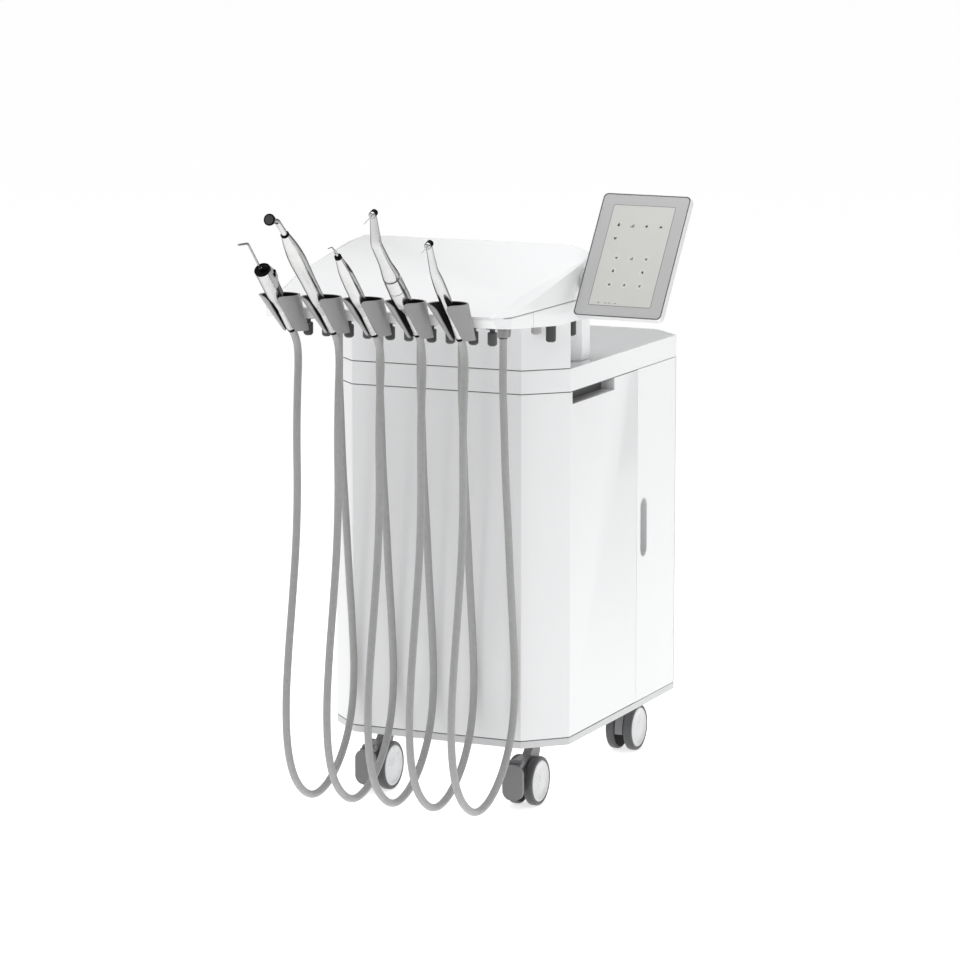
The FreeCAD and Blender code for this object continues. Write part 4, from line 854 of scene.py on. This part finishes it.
def dress_head_end(instrument, name, middle, direction, length, bur_body, node):
    """Black drum with a bright collar in front, and the bur, which reaches past it by the length."""
    collar_end = 7.0
    tip = collar_end + length
    face = Matrix.Translation(middle) @ direction.to_track_quat("Z", "Y").to_matrix().to_4x4()
    collar = [(3.0, 0), (3.0, 5.4), (3.6, 5.5), (5.4, 5.0), (6.6, 4.2), (collar_end, 3.2), (collar_end, 0)]
    lathe_piece(name + "_drum", collar, instrument, "satin_metal", "tool_steel", segments=36, place=face)
    cap = [(-7.2, 0), (-7.2, 3.8), (-6.9, 4.8), (-6.2, 5.4), (2.8, 5.5), (3.2, 5.3), (3.2, 0)]
    lathe_piece(name + "_push_cap", cap, instrument, "satin_metal", "black_gloss", segments=36, place=face)
    bm = bmesh.new()
    add_lathe(bm, [(1.0, 0), (1.0, 0.8), (12.0, 0.8), (12.5, 0.62), (tip - 5.0, 0.6), (tip - 1.0, 0.75),
                   (tip - 0.2, 0.4), (tip, 0)], 16, face)
    piece(name + "_bur", bm, instrument.place, bur_body, "tool_steel", replaces=(node,))


def dress_contra():
    add_boot(CONTRA, "motor")
    body = grip_profile(CONTRA, [(-36, 7.3), (-26, 7.6), (-14, 10.6), (-4, 13.3), (6, 14.3), (16, 14.4),
                                 (28.0, 14.15)])
    lathe_piece("motor_grip", body + [(28.0, 13.5), (28.0, 0)], CONTRA, "satin_metal",
                replaces=("micromotor",), segments=72)
    groove = [(27.6, 0), (27.6, 13.55), (28.8, 13.55), (28.8, 0)]
    ring = [(54.6, 0), (54.6, 12.9), (56.2, 12.9), (56.2, 0)]
    bm = bmesh.new()
    add_lathe(bm, groove, 64)
    add_lathe(bm, ring, 64)
    piece("motor_grooves", bm, CONTRA.place, "slow_handpiece", "satin_metal", "heel_dark")
    coupling = [(28.6, 0), (28.6, 13.6), (29.0, 14.05), (54.3, 13.6), (54.8, 13.1), (54.8, 0)]
    lathe_piece("motor_coupling", coupling, CONTRA, "satin_metal", "lamp_tip", segments=72)
    middle, direction = head_points(CONTRA, 101.0, 141.0)
    line = [Vector((0, 0, z)) for z in (55.8, 56.2, 60.0, 66.0, 72.0, 78.0, 84.0, 92.0, 105.0, 120.0, 128.0)]
    knee = Vector((0, 0, 132.0))
    line += [knee.lerp(Vector((0, 0, 128.0)), 0.4), knee.lerp(middle, 0.06), knee.lerp(middle, 0.14),
             knee.lerp(middle, 0.4), knee.lerp(middle, 0.7)]
    radii = [12.8, 13.2, 13.1, 12.5, 11.6, 10.7, 10.0, 9.4, 9.0, 8.7, 8.5, 8.4, 8.3, 8.0, 7.1, 6.0, 5.0]
    bm = bmesh.new()
    add_tube(bm, line + [middle], radii, NECK_SEGMENTS)
    piece("contra_neck", bm, CONTRA.place, "slow_handpiece", "satin_metal", replaces=("contra_angle",),
          smooth=NECK_SMOOTH)
    dress_head_end(CONTRA, "contra", middle, direction, 26.0, "slow_bur", "contra_bur")


def dress_turbine():
    add_boot(TURBINE, "turbine")
    middle, direction = head_points(TURBINE, 67.5, 100.0)
    knee = Vector((0, 0, 76.8))
    profile = grip_profile(TURBINE, [(-36, 7.0), (-20, 7.2), (-6, 8.3), (10, 9.1), (24, 9.3), (40, 9.1),
                                     (56, 8.6), (65, 7.9)])
    line = [Vector((0, 0, z)) for z in (64.5, 68.0, 72.0)]
    line += [knee.lerp(Vector((0, 0, 72.0)), 0.3), knee.lerp(middle, 0.08), knee.lerp(middle, 0.2),
             knee.lerp(middle, 0.5), knee.lerp(middle, 0.75)]
    bm = bmesh.new()
    add_lathe(bm, profile + [(65, 0)], 56)
    add_tube(bm, line + [middle], [7.9, 7.65, 7.2, 6.85, 6.5, 6.2, 5.6, 5.2, 4.9], NECK_SEGMENTS)
    piece("turbine_grip", bm, TURBINE.place, "fast_handpiece", "satin_metal", replaces=("turbine",),
          smooth=NECK_SMOOTH)
    dress_head_end(TURBINE, "turbine", middle, direction, 20.0, "fast_bur", "turbine_bur")


# ---- Hoses: the route of the construction, in metres, between tail and socket ----

HOSE_ROUTE = [(-0.490, 0.766), (-0.4875, 0.740), (-0.492, 0.695), (-0.496, 0.620), (-0.494, 0.540),
              (-0.500, 0.455), (-0.514, 0.370), (-0.531, 0.280), (-0.541, 0.200), (-0.536, 0.128),
              (-0.509, 0.072), (-0.455, 0.036), (-0.398, 0.042), (-0.345, 0.078), (-0.309, 0.132),
              (-0.296, 0.200), (-0.302, 0.285), (-0.314, 0.375), (-0.324, 0.470), (-0.335, 0.555),
              (-0.340, 0.635), (-0.3455, 0.700), (-0.344, 0.742)]      # (y, z)


def spline_points(name, points):
    """Points along the NURBS curve that has these control points."""
    data = bpy.data.curves.new(name, "CURVE")
    data.dimensions = "3D"
    data.resolution_u = 10
    spline = data.splines.new("NURBS")
    spline.points.add(len(points) - 1)
    for point, target in zip(points, spline.points):
        target.co = (*point, 1.0)
    spline.order_u = 3
    spline.use_endpoint_u = True
    curve = add_object(name, data)
    mesh = bpy.data.meshes.new_from_object(curve.evaluated_get(bpy.context.evaluated_depsgraph_get()))
    line = [vertex.co.copy() for vertex in mesh.vertices]
    bpy.data.objects.remove(curve)
    bpy.data.meshes.remove(mesh)
    return line


def dress_hoses():
    for number, instrument in enumerate(INSTRUMENTS, 1):
        x = instrument.x * MM
        tail = instrument.tail_point() * MM
        lead = tail - instrument.axis * LEAD_LENGTH * MM
        socket = Vector((x, SOCKET_Y * MM, SOCKET_LOW * MM))
        route = [tail, lead] + [Vector((x, y, z)) for y, z in HOSE_ROUTE] + [socket]
        line = spline_points("hose_line_%d" % number, route[::-1])
        bm = bmesh.new()
        add_tube(bm, line, HOSE_RADIUS * MM, 24)
        hose = mesh_object("hose_tube_%d" % number, bm, "hose_gray", 60)
        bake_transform(hose)
        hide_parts("hose_%d" % number)


# ---- Touch panel ----

TABLET_TURN = (Matrix.Rotation(math.radians(TABLET_YAW), 4, "Z")
               @ Matrix.Rotation(math.radians(-TABLET_LEAN), 4, "X"))
TABLET_PLACE = local_frame(TABLET_BASE, TABLET_TURN)
FACE_ON = Matrix(((1, 0, 0, 0), (0, 0, -1, 0), (0, 1, 0, 0), (0, 0, 0, 1)))   # (x, up, towards the viewer)


def circle(x, z, radius, degrees):
    return [(x + radius * math.cos(math.radians(a)), z + radius * math.sin(math.radians(a))) for a in degrees]


def add_glyph(bm, x, z, kind, size, height):
    """Generic pictogram: an arrow up or down, a drop, three bars, a dot or one bar."""
    if kind == "bars":
        for step in range(3):
            left = x + size * 0.75 * step
            top = z - size + (step + 1) * size * 0.6
            add_box(bm, left - size, left - size * 0.55, -height, 0, z - size, top)
        return
    outlines = {
        "up": [(x - size, z - size * 0.4), (x + size, z - size * 0.4), (x, z + size)],
        "down": [(x - size, z + size * 0.4), (x, z - size), (x + size, z + size * 0.4)],
        "drop": circle(x, z - size * 0.2, size * 0.7, range(-220, 41, 20)) + [(x, z + size * 1.3)],
        "dot": circle(x, z, size * 0.7, range(0, 360, 30)),
        "bar": [(x - size, z - size * 0.3), (x + size, z - size * 0.3), (x + size, z + size * 0.3),
                (x - size, z + size * 0.3)],
    }
    add_plate(bm, outlines[kind], 0, height, FACE_ON)


def add_frame(bm, outer, inner, low, high):
    """Flat frame between two outlines with the same number of points, seen face on."""
    loops = []
    for outline, height in ((outer, low), (outer, high), (inner, high), (inner, low)):
        loops.append([bm.verts.new(FACE_ON @ Vector((x, z, height))) for x, z in outline])
    count = len(outer)
    for first, second in zip(loops, loops[1:] + loops[:1]):
        for index in range(count):
            after = (index + 1) % count
            bm.faces.new((first[index], first[after], second[after], second[index]))


def panel_piece(name, bm, material=None, **options):
    piece(name, bm, TABLET_PLACE, "touch_panel", "tablet_screen", material, **options)


def dress_tablet():
    crisp_copy("tablet_case", "touch_panel", "tablet_gray", 0.9, 3)
    half = TABLET_WIDTH / 2
    bm = bmesh.new()
    add_plate(bm, rounded_outline(half - 2.2, 2.2, TABLET_HEIGHT - 2.2, 6.9), 0, -1.4, FACE_ON)
    panel_piece("tablet_front", bm, "bezel_gray", replaces=("tablet_glass",), bevel=0.3)
    bm = bmesh.new()
    add_frame(bm, rounded_outline(half - 0.5, 0.5, TABLET_HEIGHT - 0.5, 7.6),
              rounded_outline(half - 2.3, 2.3, TABLET_HEIGHT - 2.3, 6.8), -0.6, 0.16)
    panel_piece("tablet_edge_line", bm, "bezel_dark", bevel=0.1, segments=1)
    display = rounded_outline(53.0, 20.0, 194.0, 2.0, 3)
    bm = bmesh.new()
    add_plate(bm, display, -0.6, 0.1, FACE_ON)
    panel_piece("tablet_display", bm)
    bm = bmesh.new()
    add_frame(bm, rounded_outline(54.0, 19.0, 195.0, 2.6, 3), display, -0.5, 0.14)
    panel_piece("tablet_display_line", bm, "glyph_faint")
    add_marks()


def add_marks():
    """Signs on the display: two rows at the top, keys with a ring round each, faint ones at the foot."""
    marks = bmesh.new()
    foot_marks = bmesh.new()
    halos = bmesh.new()
    height = 0.28
    for x, z, kind in ((-36.6, 159.5, "drop"), (-12.6, 159.2, "bars"), (12.0, 159.0, "dot"),
                       (36.6, 158.6, "up"), (-36.8, 136.0, "down")):
        add_glyph(marks, x, z, kind, 3.1, height)
    for x, z, kind in ((-26, 103, "down"), (0, 103, "bars"), (25.5, 103, "down"), (-26, 80, "drop"),
                       (25, 80, "drop"), (-26.5, 56.5, "down"), (-0.5, 56.5, "up"), (26, 56.5, "down")):
        outer, inner = [circle(x, z - 0.4, radius, range(0, 360, 18)) for radius in (5.4, 4.1)]
        add_frame(halos, outer, inner, 0, 0.2)
        add_glyph(marks, x, z - 0.6, kind, 2.5, height)
    for x, kind in ((-37.0, "up"), (-25.0, "bar"), (-18.0, "bar"), (-8.0, "bar")):
        add_glyph(foot_marks, x, 23.8, kind, 2.0, 0.2)
    panel_piece("tablet_marks", marks, "glyph_dark", smooth=30)
    panel_piece("tablet_rings", foot_marks, "glyph_faint", smooth=30)
    panel_piece("tablet_halos", halos, "pull_gray", smooth=30)


# ---- Casters ----

CASTERS = {"front_left": (-131.0, -199.0), "front_right": (131.0, -199.0),
           "rear_left": (-131.0, 223.0), "rear_right": (131.0, 223.0)}
ACROSS = Matrix.Rotation(math.radians(90), 4, "Y")      # local +Z along the row's +X
TYRE = [(8.5, 33.5), (8.5, 36.4), (8.9, 37.8), (10.0, 39.1), (11.8, 39.9), (16.0, 40.0), (20.2, 39.9),
        (22.0, 39.1), (23.1, 37.8), (23.5, 36.4), (23.5, 34.0), (23.1, 33.5), (8.5, 33.5)]
HUB = [(8.5, 0), (8.5, 33.4), (22.6, 33.4), (23.3, 32.7), (23.5, 31.6), (23.4, 29.0), (22.6, 27.8),
       (22.4, 20.0), (22.9, 12.0), (23.3, 8.6), (23.5, 7.6), (23.5, 0)]


def dress_casters():
    for name, (x, y) in CASTERS.items():
        axle = Matrix.Translation((x, y - CASTER_TRAIL, WHEEL_RADIUS)) @ ACROSS
        tyres = bmesh.new()
        hubs = bmesh.new()
        shade_discs = bmesh.new()
        for side in (-1, 1):
            flip = axle @ Matrix.Scale(side, 4, (0, 0, 1))
            add_lathe(tyres, TYRE, 72, flip)
            add_lathe(hubs, HUB, 72, flip)
            # near-black discs on the inner face of each wheel half: painted shade between the halves
            add_lathe(shade_discs, [(8.3, 0), (8.3, 36.2), (8.5, 36.2), (8.5, 0)], 72, flip)
        add_lathe(hubs, [(-9, 0), (-9, 4.0), (9, 4.0), (9, 0)], 24, axle)
        piece("tyres_" + name, tyres, ROW, "wheels_" + name, "tyre_gray",
              replaces=("caster_%s_tyres" % name,), smooth=50)
        piece("hubs_" + name, hubs, ROW, "wheels_" + name, "hub_light",
              replaces=("caster_%s_hubs" % name,))
        piece("wheel_shade_discs_" + name, shade_discs, ROW, "wheels_" + name, "tyre_gray", "deep_dark")
        crisp_copy("caster_%s_fork" % name, "swivel_" + name, "caster_gray", 0.8, 3)
        if name.startswith("front"):
            crisp_copy("caster_%s_pedal" % name, "pedal_" + name, "caster_gray", 1.2, 3)


# ---- Floor and light ----

FLOOR_THICKNESS = 20.0
FLOOR_GLOW = 0.68
WORLD_LEVEL = 0.36


def add_floor():
    """Wide pale floor whose own faint glow keeps it white up to the top of the frame."""
    outline = [(-70000, -30000), (70000, -30000), (70000, 110000), (-70000, 110000)]
    bm = bmesh.new()
    add_plate(bm, outline, -FLOOR_THICKNESS, 0.0, ROW)
    mesh = bpy.data.meshes.new("floor")
    bm.to_mesh(mesh)
    bm.free()
    shader = Shader("floor_white", (0.85, 0.85, 0.85), 0.8, Specular_IOR_Level=0.2,
                    Emission_Color=(1.0, 1.0, 1.0, 1.0), Emission_Strength=FLOOR_GLOW)
    shader.vary_color(shader.noise(0.8, 2.0), 0.005)
    shader.vary_roughness(shader.noise(3.0, 2.0), 0.05)
    mesh.materials.append(shader.material)
    floor = add_object("floor", mesh)


def add_light(name, place, target, size, power):
    data = bpy.data.lights.new(name, "AREA")
    data.energy = power
    data.shape = "RECTANGLE"
    data.size = size[0]
    data.size_y = size[1]
    light = add_object(name, data)
    light.location = place
    light.rotation_euler = (Vector(target) - Vector(place)).to_track_quat("-Z", "Y").to_euler()


def add_lights():
    world = bpy.data.worlds.new("studio")
    world.use_nodes = True
    world.node_tree.nodes["Background"].inputs["Color"].default_value = (1.0, 1.0, 1.0, 1.0)
    world.node_tree.nodes["Background"].inputs["Strength"].default_value = WORLD_LEVEL
    bpy.context.scene.world = world
    add_light("overhead", (0.2, -0.2, 3.0), (0, -0.1, 0.5), (3.0, 3.0), 63)
    add_light("right_softbox", (3.2, 0.3, 1.9), (0.1, 0, 0.5), (2.4, 2.4), 8)
    add_light("left_softbox", (-3.0, -2.2, 2.2), (0, -0.2, 0.5), (1.6, 2.4), 13)
    bpy.context.scene.view_settings.view_transform = "Standard"


add_camera()
dress_hoses()
dress_cabinet()
dress_head()
dress_cups()
dress_sockets()
dress_valves()
dress_syringe()
dress_lamp()
dress_scaler()
dress_contra()
dress_turbine()
dress_tablet()
dress_casters()
color_bare_nodes()
add_floor()
add_lights()
